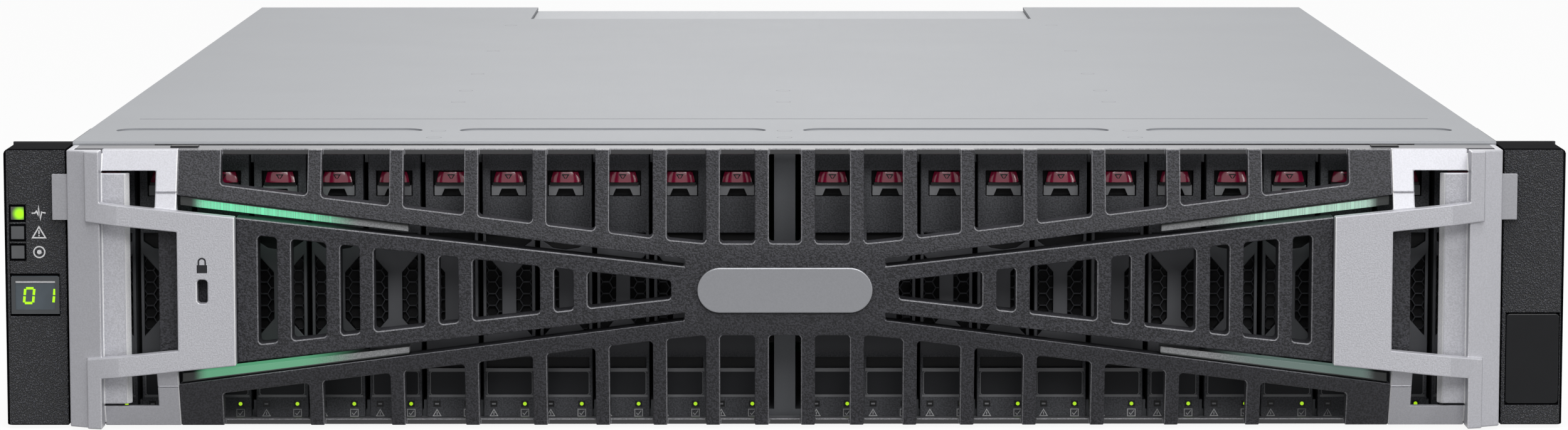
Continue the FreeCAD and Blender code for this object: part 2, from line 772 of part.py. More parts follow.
def slot_edge(x):
    """The lower edge of the upper beam."""
    return f"(slot_rise + slot_slope * ({x} - hub_half))"


def spine_edge(x):
    """The upper edge of the bow-tie spine."""
    return f"(spine_rise + spine_slope * ({x} - hub_half))"


def four_ways(corners):
    both = [corners, flipped(corners)]
    return both + [mirrored(outline) for outline in both]


def cutter(name, outlines, back, rounded=None):
    """Prisms from the lattice's front plane to the given depth, with the corners that the test picks rounded."""
    sketch = doc.addObject("Sketcher::SketchObject", name + "_sketch")
    sketch.Placement.Rotation = FreeCAD.Rotation(FreeCAD.Vector(1, 0, 0), 90)
    sketch.setExpression("Placement.Base.y", tie("-lattice_front"))
    draw(sketch, outlines)
    prism = doc.addObject("Part::Extrusion", name)
    prism.Base = sketch
    prism.DirMode = "Custom"
    prism.Dir = FreeCAD.Vector(0, 1, 0)
    prism.setExpression("LengthFwd", tie(f"({back}) + lattice_front"))
    prism.Solid = True
    if not rounded:
        return prism
    doc.recompute()
    radius = value("corner")
    made = doc.addObject("Part::Fillet", name + "_corners")
    made.Base = prism
    made.Edges = [(i, radius, radius) for i, edge in enumerate(prism.Shape.Edges, 1)
                  if runs_along(edge, 1) and rounded(edge.BoundBox.Center)]
    return made


def below_rim(corner):
    return abs(corner.z) < value(CELL_TOP) - NEAR


def any_corner(corner):
    return True


RIM_FACE = "(rim_setback - lattice_front)"
lattice_block = doc.addObject("Part::Box", "lattice_block")
for size, text in (("Length", "2 * lattice_end"), ("Width", "lattice_depth"), ("Height", "2 * bezel_rise"),
                   ("Placement.Base.x", "-lattice_end"), ("Placement.Base.y", "-lattice_front"),
                   ("Placement.Base.z", "-bezel_rise")):
    lattice_block.setExpression(size, tie(text))
middle_cell = rect("-center_cell / 2", "center_cell / 2", "cell_floor", CELL_TOP)
middle_rim = rect("-center_cell / 2", "center_cell / 2", CELL_TOP, "bezel_rise")
cuts = [cutter("cell_0", [middle_cell, flipped(middle_cell)], LATTICE_BACK, below_rim),
        cutter("rim_0", [middle_rim, flipped(middle_rim)], RIM_FACE)]
for number in range(1, LATTICE_CELLS + 1):
    inner, outer = cell_start(number), cell_end(number)
    cell = [(inner, cell_low(inner)), (outer, cell_low(outer)), (outer, CELL_TOP), (inner, CELL_TOP)]
    cuts.append(cutter(f"cell_{number}", four_ways(cell), LATTICE_BACK, below_rim))
    cuts.append(cutter(f"rim_{number}", four_ways(rect(inner, outer, CELL_TOP, "bezel_rise")), RIM_FACE))
slot = [
    ("hub_half", slot_edge("hub_half")),
    ("lattice_end", slot_edge("lattice_end")),
    ("lattice_end", f"-{slot_edge('lattice_end')}"),
    ("hub_half", f"-{slot_edge('hub_half')}"),
    ("hub_half", f"-{spine_edge('hub_half')}"),
    ("spine_end", f"-{spine_edge('spine_end')}"),
    ("spine_end", spine_edge("spine_end")),
    ("hub_half", spine_edge("hub_half")),
]
cuts.append(cutter("beam_slots", [slot, mirrored(slot)], LATTICE_BACK))
for number in range(SPINE_PAIRS):
    wide = f"({number} * panel_first + {number * (number - 1) // 2} * panel_step)"
    outer = f"(slit_end - {number} * (slit + 2 * mullion) - {wide})"
    openings = []
    for start, width in ((outer, "slit"),
                         (f"({outer} - slit - mullion)", f"(panel_first + {number} * panel_step)")):
        end = f"({start} - {width})"
        start_high, end_high = (f"({spine_edge(x)} - spine_border)" for x in (start, end))
        openings.append([(start, f"-{start_high}"), (start, start_high), (end, end_high), (end, f"-{end_high}")])
    cuts.append(cutter(f"spine_openings_{number}", openings + [mirrored(outline) for outline in openings],
                       LATTICE_BACK, any_corner))
lattice_cuts = doc.addObject("Part::Compound", "lattice_cuts")
lattice_cuts.Links = cuts
open_lattice = doc.addObject("Part::Cut", "open_lattice")
open_lattice.Base = lattice_block
open_lattice.Tool = lattice_cuts
PAST_TOP = "(bezel_rise + cut_over)"
PAST_FRONT = "(-lattice_front - cut_over)"
PAST_END = "(lattice_end + cut_over)"


def lean_section(number, x, fold):
    """What is cut away at one place along the upper panel, from its fold to the bezel's edge."""
    sketch = doc.addObject("Sketcher::SketchObject", f"lean_section_{number}")
    sketch.Placement.Rotation = FreeCAD.Rotation(FreeCAD.Vector(1, 1, 1), 120)
    sketch.setExpression("Placement.Base.x", tie(x))
    leaning_edge = [("-lattice_front", fold), ("-crown_front", "bezel_rise")]
    outer_edge = [("-crown_front", PAST_TOP), (PAST_FRONT, PAST_TOP), (PAST_FRONT, fold)]
    draw(sketch, [leaning_edge + outer_edge])
    return sketch


lean = doc.addObject("Part::Loft", "upper_right_lean")
lean.Sections = [lean_section(1, "0", slot_edge("hub_half")), lean_section(2, "hub_half", slot_edge("hub_half")),
                 lean_section(3, PAST_END, slot_edge(PAST_END))]
lean.Solid = True
lean.Ruled = True
leans = [lean, mirror_of(lean, "upper_left_lean")]
leans += [mirror_of(wedge, wedge.Name.replace("upper", "lower"), FreeCAD.Vector(0, 0, 1)) for wedge in leans]
lattice_leans = doc.addObject("Part::Compound", "lattice_leans")
lattice_leans.Links = leans
leaning_lattice = doc.addObject("Part::Cut", "leaning_lattice")
leaning_lattice.Base = open_lattice
leaning_lattice.Tool = lattice_leans
tail = new_body("right_tail")
pad(tail, "tail_plate", "XZ", "-tail_front", LATTICE_BACK,
    [rect("spine_end - spine_border", "tail_end", "-tail_half", "tail_half")])
lattice = doc.addObject("Part::MultiFuse", "lattice")
lattice.Shapes = [leaning_lattice, tail, mirror_of(tail, "left_tail")]
hand_over(lattice, "bezel_lattice", z=MID)

# Bezel brackets: cast end pieces. A chamfered side carries a proud loop, which is the handle that the bezel is
# pulled off by, and a frame of thin plates. The frame's upper and lower bars and its inner legs lean back towards
# the edges. The left loop has a keyhole. Each side has a slot for its latch tab, with room behind it for the tab's
# head.
BRACKET_BACK = "(-body_front - bezel_gap)"
PLATE_BACK = "(plate_sheet - crease_front)"
TAB_BACK = "(-cap_depth - bezel_gap)"
TAB_FRONT = f"({TAB_BACK} - tab_thick)"
TAB_TOP = "(tab_base + tab_height)"
HEAD_END = "(bezel_half - tab_tail)"
HEAD_START = f"({HEAD_END} + head_depth)"


def arm_top(x):
    """The upper edge of the loop's upper arm."""
    return f"(arm_top_inner + arm_slope * ({x} - loop_inner))"


def arm_low(x):
    """The lower edge of the loop's upper arm."""
    return f"({arm_top(x)} - arm_drop)"


def ramp_front(x):
    """The leaning front of the arms' roots and of the strip that runs on from them to the bezel's edges."""
    return f"(-root_front - (loop_root - {x}) * (loop_front - root_front) / (loop_root - loop_knee))"


def side_front(x):
    """The chamfered front of the bracket's side."""
    return f"(-side_front - (bezel_half - {x}) * (side_root - side_front) / (bezel_half - loop_root))"


bracket = new_body("bracket")
leaf = [("post_inner", "bezel_rise"), ("lattice_end", "bezel_rise"), ("lattice_end", "leg_base")]
leaf += [("gap_inner", "leg_base"), ("gap_inner", "gap_top"), ("post_inner", "gap_top")]
pad(bracket, "leaves", "XZ", "-leg_front", LATTICE_BACK, [mirrored(leaf), flipped(mirrored(leaf))])
before = [("-leg_front", "leg_base"), ("-crown_front", "bezel_rise"), ("-leg_front", "bezel_rise")]
behind = [("plate_sheet - leg_front", "leg_base"), (LATTICE_BACK, "bezel_rise"), (LATTICE_BACK, "leg_base")]
pocket(bracket, "leaf_fronts", "YZ", "-post_inner", "-lattice_end", [before, flipped(before)])
pocket(bracket, "leaf_backs", "YZ", "-post_inner", "-lattice_end", [behind, flipped(behind)])
strut = [("-strut_front", "leg_base + strut_sheet"), ("-strut_root", "strut_base"),
         ("strut_sheet - strut_root", "strut_base"), ("strut_sheet - strut_front", "leg_base + strut_sheet")]
pad(bracket, "struts", "YZ", "-gap_inner", "-lattice_end", [strut, flipped(strut)])
pad(bracket, "side_plate", "XZ", "-crease_front", PLATE_BACK,
    [rect("-post_inner", "gap_bevel - gap_outer", "-crease", "crease")])
bevel = [("gap_bevel - gap_outer", "-crease_front"), ("gap_bevel - gap_outer", PLATE_BACK),
         ("-gap_outer", "-crease_front")]
pocket(bracket, "plate_bevel", "XY", "-gap_top", "gap_top", [bevel])
loop = [("loop_root", arm_top("loop_root")), ("loop_inner", arm_top("loop_inner"))]
loop += [(x, f"-{z}") for x, z in reversed(loop)]
loop += [("loop_root", f"-{arm_low('loop_root')}"), ("loop_edge", f"-{arm_low('loop_edge')}")]
loop += [("loop_edge", arm_low("loop_edge")), ("loop_root", arm_low("loop_root"))]
handle_loop = new_body("handle_loop")
pad(handle_loop, "loop_block", "XZ", "-loop_front", "-loop_back", [mirrored(loop)])
ramp = [("loop_root", "-root_front"), ("loop_knee", "-loop_front"), ("loop_root", "-loop_front")]
pocket(handle_loop, "loop_ramp", "XY", "-bezel_rise", "bezel_rise", [mirrored(ramp)])
arm_back = [
    ("loop_inner", "loop_arm - loop_front"),
    ("loop_knee", "loop_arm - loop_front"),
    ("loop_root", "loop_arm - root_front"),
    ("loop_root", "-loop_back"),
    ("loop_inner", "-loop_back"),
]
pocket(handle_loop, "loop_hollow", "XY", "-bezel_rise", "bezel_rise", [mirrored(arm_back)])
strip = [
    ("loop_root", "-root_front"),
    ("post_inner", ramp_front("post_inner")),
    ("post_inner", PLATE_BACK),
    ("loop_root", PLATE_BACK),
]
pad(bracket, "ramp_strip", "XY", "-bezel_rise", "bezel_rise", [mirrored(strip)])
waist = [
    ("loop_root", side_front("loop_root")),
    ("post_inner", side_front("post_inner")),
    ("post_inner", "-loop_front"),
    ("loop_root", "-loop_front"),
]
pocket(bracket, "strip_waist", "XY", f"-{arm_low('loop_root')}", arm_low("loop_root"), [mirrored(waist)])
post = [
    ("bezel_half", BRACKET_BACK),
    ("bezel_half", "-side_front"),
    ("loop_root", "-side_root"),
    ("loop_root", PLATE_BACK),
    ("(bezel_half - post_wall)", PLATE_BACK),
    ("(bezel_half - post_wall)", BRACKET_BACK),
]
pad(bracket, "bracket_side", "XY", "-bezel_rise", "bezel_rise", [mirrored(post)])
pocket(bracket, "tab_slot", "YZ", "-bezel_half", "-post_inner",
       [rect(f"{TAB_FRONT} - bezel_gap", f"{TAB_BACK} + bezel_gap", "tab_base - bezel_gap",
             f"{TAB_TOP} + bezel_gap")])
pocket(bracket, "tab_head_room", "YZ", f"-{HEAD_START} - bezel_gap", f"head_room - {HEAD_END}",
       [rect(f"{TAB_FRONT} - bezel_gap", f"{TAB_BACK} + bezel_gap", "tab_base - head_rise - bezel_gap",
             f"{TAB_TOP} + head_rise + bezel_gap")])
whole_bracket = doc.addObject("Part::MultiFuse", "whole_bracket")
whole_bracket.Shapes = [bracket, handle_loop]
keyhole = new_body("keyhole")
pad(keyhole, "keyhole_block", "XZ", "-loop_front - fit", "key_depth - loop_front",
    [rect("-key_middle - key_width / 2", "key_width / 2 - key_middle", "-key_height / 2", "key_height / 2")])
dress(keyhole, "keyhole_corners", "Fillet", "key_corner", lambda e: runs_along(e, 1))
left_bracket = doc.addObject("Part::Cut", "left_bracket")
left_bracket.Base = whole_bracket
left_bracket.Tool = keyhole
hand_over(left_bracket, "bezel_left_bracket", z=MID)
group("bezel_right_bracket", [mirror_of(whole_bracket, "right_bracket")], z=MID)

# Latch tabs: flat slides in the posts. Each reaches out over its ear cap and has a head that keeps it in its slot.
tab_half = [("(bezel_half + tab_reach)", TAB_TOP), (HEAD_START, TAB_TOP)]
tab_half += [(HEAD_START, f"{TAB_TOP} + head_rise"), (HEAD_END, f"{TAB_TOP} + head_rise")]
tab_half += [(HEAD_END, "tab_base - head_rise"), (HEAD_START, "tab_base - head_rise")]
tab_half += [(HEAD_START, "tab_base"), ("(bezel_half + tab_reach)", "tab_base")]
tab = new_body("left_tab")
pad(tab, "tab_sheet_metal", "XZ", TAB_FRONT, TAB_BACK, [mirrored(tab_half)])
group("bezel_left_latch", [tab], z=MID)
group("bezel_right_latch", [mirror_of(tab, "right_tab")], z=MID)

# Bezel rails: two flat strips behind the lattice's rims, from side to side. The lower one is narrow and leaves room
# for the drives' feet.
RAIL_END = "(bezel_half - post_wall)"
top_rail = new_body("top_rail")
pad(top_rail, "top_rail_strip", "XZ", LATTICE_BACK, "-rail_back",
    [rect(f"-{RAIL_END}", RAIL_END, CELL_TOP, "bezel_rise")])
bottom_rail = new_body("bottom_rail")
pad(bottom_rail, "bottom_rail_strip", "XZ", LATTICE_BACK, f"{LATTICE_BACK} + low_rail",
    [rect(f"-{RAIL_END}", RAIL_END, "-bezel_rise", f"-{CELL_TOP}")])
group("bezel_rails", [top_rail, bottom_rail], z=MID)

# Light pipes: four clear tapered bars under the outer parts of the beams.
pipe = new_body("upper_left_pipe")
pipe_ends = [(x, f"({slot_edge(x)} - bezel_gap)", tall)
             for x, tall in (("pipe_outer", "pipe_tall"), ("pipe_inner", "pipe_short"))]
(outer_x, outer_z, tall), (inner_x, inner_z, short) = pipe_ends
pipe_outline = [(outer_x, outer_z), (inner_x, inner_z), (inner_x, f"{inner_z} - {short}"),
                (outer_x, f"{outer_z} - {tall}")]
pad(pipe, "pipe_bar", "XZ", "-pipe_front", LATTICE_BACK, [mirrored(pipe_outline)])
upper_right_pipe = mirror_of(pipe, "upper_right_pipe")
pipes = [pipe, upper_right_pipe]
pipes += [mirror_of(bar, bar.Name.replace("upper", "lower"), FreeCAD.Vector(0, 0, 1)) for bar in pipes]
group("light_pipes", pipes, z=MID)

# Badge: a plain round-ended plate on the hub.
badge = new_body("badge")
pad(badge, "badge_plate", "XZ", "-lattice_front - badge_proud", "-lattice_front",
    shape=lambda sketch: obround(sketch, "0", "0", "badge_width", "badge_height / 2"))
hand_over(badge, "bezel_badge", z=MID)

# Drives: a moulded carrier with a latch hatch, an arched recess and two air grilles that leave a Y-shaped bar, its
# release button, and the disk between the carrier's rails. A thin lip round the face covers the edges of the
# guides. Drawn once from the lower rail's underside and copied to every place in the bay.
FACE_BACK = "(face_depth - drive_face)"
carrier = new_body("carrier")
pad(carrier, "carrier_face", "XZ", "-drive_face", FACE_BACK,
    [rect("-drive_width / 2", "drive_width / 2", "0", "drive_height")])
pad(carrier, "carrier_lip", "XZ", "-drive_face", "lip_depth - drive_face",
    [rect("-drive_width / 2", "drive_width / 2", "-lip_low", "drive_height + lip_high")])
pad(carrier, "carrier_rails", "XZ", FACE_BACK, "disk_start + disk_depth",
    [rect("-disk_width / 2", "disk_width / 2", "0", "carrier_rail"),
     rect("-disk_width / 2", "disk_width / 2", "drive_height - carrier_rail", "drive_height")])


def face_cut(name, depth, outlines):
    """A recess in the carrier's face."""
    pocket(carrier, name, "XZ", "-drive_face", f"{depth} - drive_face", outlines)


face_cut("hatch", "hatch_depth",
         [rect("-hatch_width / 2", "hatch_width / 2", "hatch_base", "hatch_base + hatch_height")])
WALL_INSIDE = "(drive_width / 2 - side_wall)"
arch = [(f"-{WALL_INSIDE}", "arch_base + arch_point"), (f"-{WALL_INSIDE}", "arch_base + arch_side"),
        ("-arch_knee", "arch_base + arch_point - arch_sag"), ("0", "arch_base"),
        ("arch_knee", "arch_base + arch_point - arch_sag"), (WALL_INSIDE, "arch_base + arch_side"),
        (WALL_INSIDE, "arch_base + arch_point")]
face_cut("arch", "arch_depth", [arch])
grille = [("spine_bar / 2", "grille_base + grille_fork"), (WALL_INSIDE, "grille_base"), (WALL_INSIDE, "grille_top"),
          ("spine_bar / 2", "grille_top - grille_fork")]
face_cut("grilles", "grille_depth", [grille, mirrored(grille)])
face_cut("band", "band_depth",
         [rect(f"-{WALL_INSIDE}", WALL_INSIDE, "band_base", "band_base + band_height")])
disk = new_body("disk")
pad(disk, "disk_block", "XZ", "disk_start", "disk_start + disk_depth",
    [rect("-disk_width / 2", "disk_width / 2", "carrier_rail", "drive_height - carrier_rail")])
button = new_body("button")
pad(button, "button_block", "XZ", "-drive_face - button_proud", "hatch_depth - drive_face",
    [[("-button_wide / 2", "button_base"), ("button_wide / 2", "button_base"),
      ("button_narrow / 2", "button_base + button_height"), ("-button_narrow / 2", "button_base + button_height")]])
for number, x in enumerate(DRIVE_PLACES, 1):
    group(f"drive_{number:02d}", [carrier, disk, button], x=x, z="drive_low")


def module_case(name, half, height):
    """A sheet case, open towards the midplane, with a thicker panel at the back."""
    body = new_body(name)
    pad(body, name + "_block", "XZ", "module_front", "body_depth", [rect(f"-{half}", half, "0", height)])
    pocket(body, name + "_inside", "XZ", "module_front", PANEL_FRONT,
           [rect(f"case_sheet - {half}", f"{half} - case_sheet", "case_sheet", f"{height} - case_sheet")])
    return body


def socket(name, x, width, base, height, depth, wall):
    """A box socket that opens at the back of a module, with its mouth just proud of the panel."""
    body = new_body(name)
    left, right, top = f"{x} - {width} / 2", f"{x} + {width} / 2", f"{base} + {height}"
    mouth = "(body_depth + bezel_gap)"
    pad(body, name + "_block", "XZ", f"{mouth} - {depth}", mouth, [rect(left, right, base, top)])
    pocket(body, name + "_mouth", "XZ", f"{mouth} - {depth} + {wall}", mouth,
           [rect(f"{left} + {wall}", f"{right} - {wall}", f"{base} + {wall}", f"{top} - {wall}")])
    return body


def panel_hole(case, name, x, width, base, height):
    pocket(case, name, "XZ", PANEL_FRONT, "body_depth",
           [rect(f"{x} - {width} / 2 - bezel_gap", f"{x} + {width} / 2 + bezel_gap",
                 f"{base} - bezel_gap", f"{base} + {height} + bezel_gap")])


# Controllers: two alike, one above the other. Each is a case with a board in it, a row of host cages, a network
# jack and an expansion port on the board, air slots over them, and an ejector lever at each end of the panel.
PANEL_FRONT = "(body_depth - panel_sheet)"
PCB_LOW = "(case_sheet + bezel_gap)"
PCB_TOP = f"({PCB_LOW} + pcb_sheet)"
PIVOT_X = "(case_half - lever_edge)"
PIVOT_Y = "(body_depth + lever_clear + lever_sheet / 2)"
LEVER_TOP = "(lever_base + lever_height)"
controller = module_case("controller", "case_half", "case_high")
board = new_body("controller_board")
pad(board, "board_sheet", "XY", PCB_LOW, PCB_TOP,
    [rect("pcb_margin - case_half", "case_half - pcb_margin", "module_front + pcb_setback",
          f"{PANEL_FRONT} - bezel_gap")])
PORTS = [(f"(cage_first + {i} * cage_pitch)", "cage") for i in range(HOST_PORTS)]
PORTS += [("jack_place", "jack"), ("sas_place", "sas")]
on_board = [board]
for number, (x, kind) in enumerate(PORTS, 1):
    panel_hole(controller, f"port_hole_{number}", x, f"{kind}_width", PCB_TOP, f"{kind}_height")
    on_board.append(socket(f"port_{number}", x, f"{kind}_width", PCB_TOP, f"{kind}_height", f"{kind}_depth",
                           "cage_wall"))
first_slot = f"(-{(PANEL_SLOTS - 1) / 2} * slot_pitch)"
slot_hole = pocket(controller, "panel_slot", "XZ", PANEL_FRONT, "body_depth",
                   [rect(f"{first_slot} - slot_width / 2", f"{first_slot} + slot_width / 2",
                         "case_high - slot_down - slot_height", "case_high - slot_down")])
row_along_x(controller, "panel_slots", slot_hole, "slot_pitch", PANEL_SLOTS)
lug = rect(f"{PIVOT_X} - lever_sheet / 2", f"{PIVOT_X} + lever_sheet / 2", "body_depth",
           f"{PIVOT_Y} + lever_sheet / 2")
for name, low in (("low_lugs", "lever_base - bezel_gap - lug_height"), ("high_lugs", f"{LEVER_TOP} + bezel_gap")):
    pad(controller, name, "XY", low, f"{low} + lug_height", [lug, mirrored(lug)])


def pivot_pins(sketch):
    for side in ("-", ""):
        ring(sketch, f"{side}{PIVOT_X}", PIVOT_Y, "pivot_radius")


pad(controller, "pivots", "XY", "lever_base - bezel_gap", f"{LEVER_TOP} + bezel_gap", shape=pivot_pins)
lever = new_body("right_lever")
pad(lever, "lever_bar", "XY", "lever_base", LEVER_TOP,
    shape=lambda sketch: obround(sketch, f"{PIVOT_X} - lever_length / 2 + lever_sheet / 2", PIVOT_Y,
                                 "lever_length", "lever_sheet / 2"))
pocket(lever, "lever_bore", "XY", "lever_base", LEVER_TOP,
       shape=lambda sketch: ring(sketch, PIVOT_X, PIVOT_Y, "pivot_radius + pivot_play"))
left_lever = mirror_of(lever, "left_lever")
for letter, low in (("a", "sheet + module_gap"), ("b", f"{MID} + sheet / 2 + module_gap")):
    group(f"controller_{letter}_case", [controller], z=low)
    group(f"controller_{letter}_board", on_board, z=low)
    group(f"controller_{letter}_left_lever", [left_lever], z=low)
    group(f"controller_{letter}_right_lever", [lever], z=low)

# Power and cooling modules: two alike, one each side. Each has a fan behind a louvred grille, a mains inlet, a
# fixed pull handle and a release latch that is squeezed towards the handle.
FAN_X = "(psu_half - fan_edge)"
ROTOR_BACK = f"({PANEL_FRONT} - rotor_clear)"
ROTOR_FRONT = f"({ROTOR_BACK} - rotor_depth)"
INLET_X = "(inlet_edge - psu_half)"
HANDLE_X = "(handle_edge - psu_half)"
HANDLE_BACK = "(body_depth + handle_reach)"
LATCH_X = "(latch_edge - psu_half)"
LATCH_FRONT = "(body_depth + bezel_gap)"
psu = module_case("power_module", "psu_half", "psu_high")
for level in range(LOUVRES + 1):
    far = f"({level} * louvre_pitch + (louvre_pitch - louvre_bar) / 2)"
    reach = f"sqrt(fan_radius ^ 2 - {far} ^ 2)"
    rows = []
    for sign in ("-", "+"):
        low = f"fan_rise {sign} {level} * louvre_pitch - (louvre_pitch - louvre_bar) / 2"
        high = f"{low} + louvre_pitch - louvre_bar"
        rows.append(rect(f"{FAN_X} + louvre_hub", f"{FAN_X} + {reach}", low, high))
        rows.append(rect(f"{FAN_X} - {reach}", f"{FAN_X} - louvre_hub", low, high))
    pocket(psu, f"louvres_{level}", "XZ", PANEL_FRONT, "body_depth", rows[: 4 if level else 2])
pad(psu, "fan_shaft", "XZ", f"{ROTOR_FRONT} + rotor_clear", PANEL_FRONT,
    shape=lambda sketch: ring(sketch, FAN_X, "fan_rise", "shaft_radius"))
panel_hole(psu, "inlet_hole", INLET_X, "inlet_width", "inlet_base", "inlet_height")
pocket(psu, "latch_slot", "XZ", PANEL_FRONT, "body_depth",
       [rect(f"{LATCH_X} - latch_stem / 2 - bezel_gap", f"{LATCH_X} + latch_stem / 2 + latch_travel + bezel_gap",
             "latch_base + latch_stem / 2 - bezel_gap", "latch_base + latch_height - latch_stem / 2 + bezel_gap")])
inlet = socket("inlet", INLET_X, "inlet_width", "inlet_base", "inlet_height", "inlet_depth", "inlet_wall")

rotor = new_body("rotor")
pad(rotor, "rotor_hub", "XZ", ROTOR_FRONT, ROTOR_BACK, shape=lambda sketch: ring(sketch, "0", "0", "hub_radius"))
vane = [
    (f"{ROTOR_FRONT} + blade", "-blade_rise"),
    (f"{ROTOR_FRONT} + 2 * blade", "-blade_rise"),
    (f"{ROTOR_BACK} - blade", "blade_rise"),
    (f"{ROTOR_BACK} - 2 * blade", "blade_rise"),
]
blade = pad(rotor, "rotor_blade", "YZ", "blade_root", "fan_radius - rotor_gap", [vane])
doc.recompute()
blades = rotor.newObject("PartDesign::PolarPattern", "rotor_blades")
blades.Originals = [blade]
blades.Axis = (next(f for f in rotor.Origin.OriginFeatures if f.Role == "Y_Axis"), [""])
blades.Angle = 360
blades.Occurrences = FAN_BLADES
rotor.Tip = blades
pocket(rotor, "rotor_bore", "XZ", ROTOR_FRONT, ROTOR_BACK,
       shape=lambda sketch: ring(sketch, "0", "0", "shaft_radius + shaft_play"))

handle = new_body("handle")
grip = [
    ("body_depth", "handle_base"),
    (HANDLE_BACK, "handle_base"),
    (HANDLE_BACK, "handle_base + handle_height"),
    ("body_depth", "handle_base + handle_height"),
    ("body_depth", "handle_base + handle_height - handle_bar"),
    (f"{HANDLE_BACK} - handle_bar", "handle_base + handle_height - handle_bar"),
    (f"{HANDLE_BACK} - handle_bar", "handle_base + handle_bar"),
    ("body_depth", "handle_base + handle_bar"),
]
pad(handle, "handle_grip", "YZ", f"{HANDLE_X} - handle_width / 2", f"{HANDLE_X} + handle_width / 2", [grip])
dress(handle, "handle_corners", "Fillet", "handle_bar",
      lambda e: runs_along(e, 0) and e.BoundBox.YMin > value(HANDLE_BACK) - NEAR)
latch = new_body("latch")
pad(latch, "latch_thumb", "XZ", LATCH_FRONT, "body_depth + latch_reach",
    [rect(f"{LATCH_X} - latch_width / 2", f"{LATCH_X} + latch_width / 2", "latch_base",
          "latch_base + latch_height")])
pad(latch, "latch_neck", "XZ", f"{PANEL_FRONT} - latch_stem", LATCH_FRONT,
    [rect(f"{LATCH_X} - latch_stem / 2", f"{LATCH_X} + latch_stem / 2", "latch_base + latch_stem / 2",
          "latch_base + latch_height - latch_stem / 2")])
for side, x in (("left", f"-{PSU_MIDDLE}"), ("right", PSU_MIDDLE)):
    low = "sheet + module_gap"
    group(f"{side}_psu_case", [psu, inlet], x=x, z=low)
    group(f"{side}_psu_fan", [rotor], x=f"{x} + {FAN_X}", z=f"{low} + fan_rise")
    group(f"{side}_psu_handle", [handle], x=x, z=low)
    group(f"{side}_psu_latch", [latch], x=x, z=low)

doc.recompute()
faults = [f"{obj.Name}: {obj.State}" for obj in doc.Objects if {"Invalid", "Error"} & set(obj.State)]
for cut in [obj for obj in doc.Objects if obj.TypeId == "PartDesign::Pocket"]:
    if cut.Shape.isNull():
        faults.append(f"{cut.Name}: no shape")
    elif cut.Shape.Volume > cut.BaseFeature.Shape.Volume - NEAR ** 2:
        faults.append(f"{cut.Name}: cuts nothing")
for piece in pieces:
    if piece.Shape.isNull() or not piece.Shape.isValid() or not piece.Shape.Solids:
        faults.append(f"{piece.Label}: no valid solid")
if faults:
    raise RuntimeError("; ".join(faults))

os.makedirs("parts", exist_ok=True)
for piece in pieces:
    piece.Shape.exportStep(f"parts/{piece.Label}.step")
print(f"{len(pieces)} sub-parts written")
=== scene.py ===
import json
import math

import bmesh
import bpy
import numpy as np
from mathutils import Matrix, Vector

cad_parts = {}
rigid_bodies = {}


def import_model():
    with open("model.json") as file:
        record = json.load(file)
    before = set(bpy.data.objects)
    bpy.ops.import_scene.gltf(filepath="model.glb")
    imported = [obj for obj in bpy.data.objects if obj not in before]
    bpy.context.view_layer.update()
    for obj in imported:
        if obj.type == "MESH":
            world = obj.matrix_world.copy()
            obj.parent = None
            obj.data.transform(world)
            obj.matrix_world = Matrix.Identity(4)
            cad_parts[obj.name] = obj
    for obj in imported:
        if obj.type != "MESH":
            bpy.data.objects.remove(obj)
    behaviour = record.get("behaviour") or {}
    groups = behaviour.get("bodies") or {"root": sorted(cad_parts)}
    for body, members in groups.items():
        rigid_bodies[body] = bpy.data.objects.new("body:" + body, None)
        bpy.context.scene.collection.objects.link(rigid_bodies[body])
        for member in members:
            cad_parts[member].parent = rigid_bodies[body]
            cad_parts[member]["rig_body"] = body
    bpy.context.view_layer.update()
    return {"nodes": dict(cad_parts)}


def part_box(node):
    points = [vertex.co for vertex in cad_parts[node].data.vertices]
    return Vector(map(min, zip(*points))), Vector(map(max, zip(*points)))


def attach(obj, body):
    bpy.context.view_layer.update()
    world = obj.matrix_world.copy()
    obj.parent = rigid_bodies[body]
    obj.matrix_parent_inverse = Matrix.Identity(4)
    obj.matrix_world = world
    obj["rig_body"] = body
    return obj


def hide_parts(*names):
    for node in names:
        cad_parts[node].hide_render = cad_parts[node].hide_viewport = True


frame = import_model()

MM = 0.001

# Folded case: tray, cover, drive guides and bay partitions, of zinc-coated steel sheet, cut and folded, with
# a faint rolled grain from front to back. Rivets hold the cover down along its middle and its bay walls, and
# screws hold the sides.


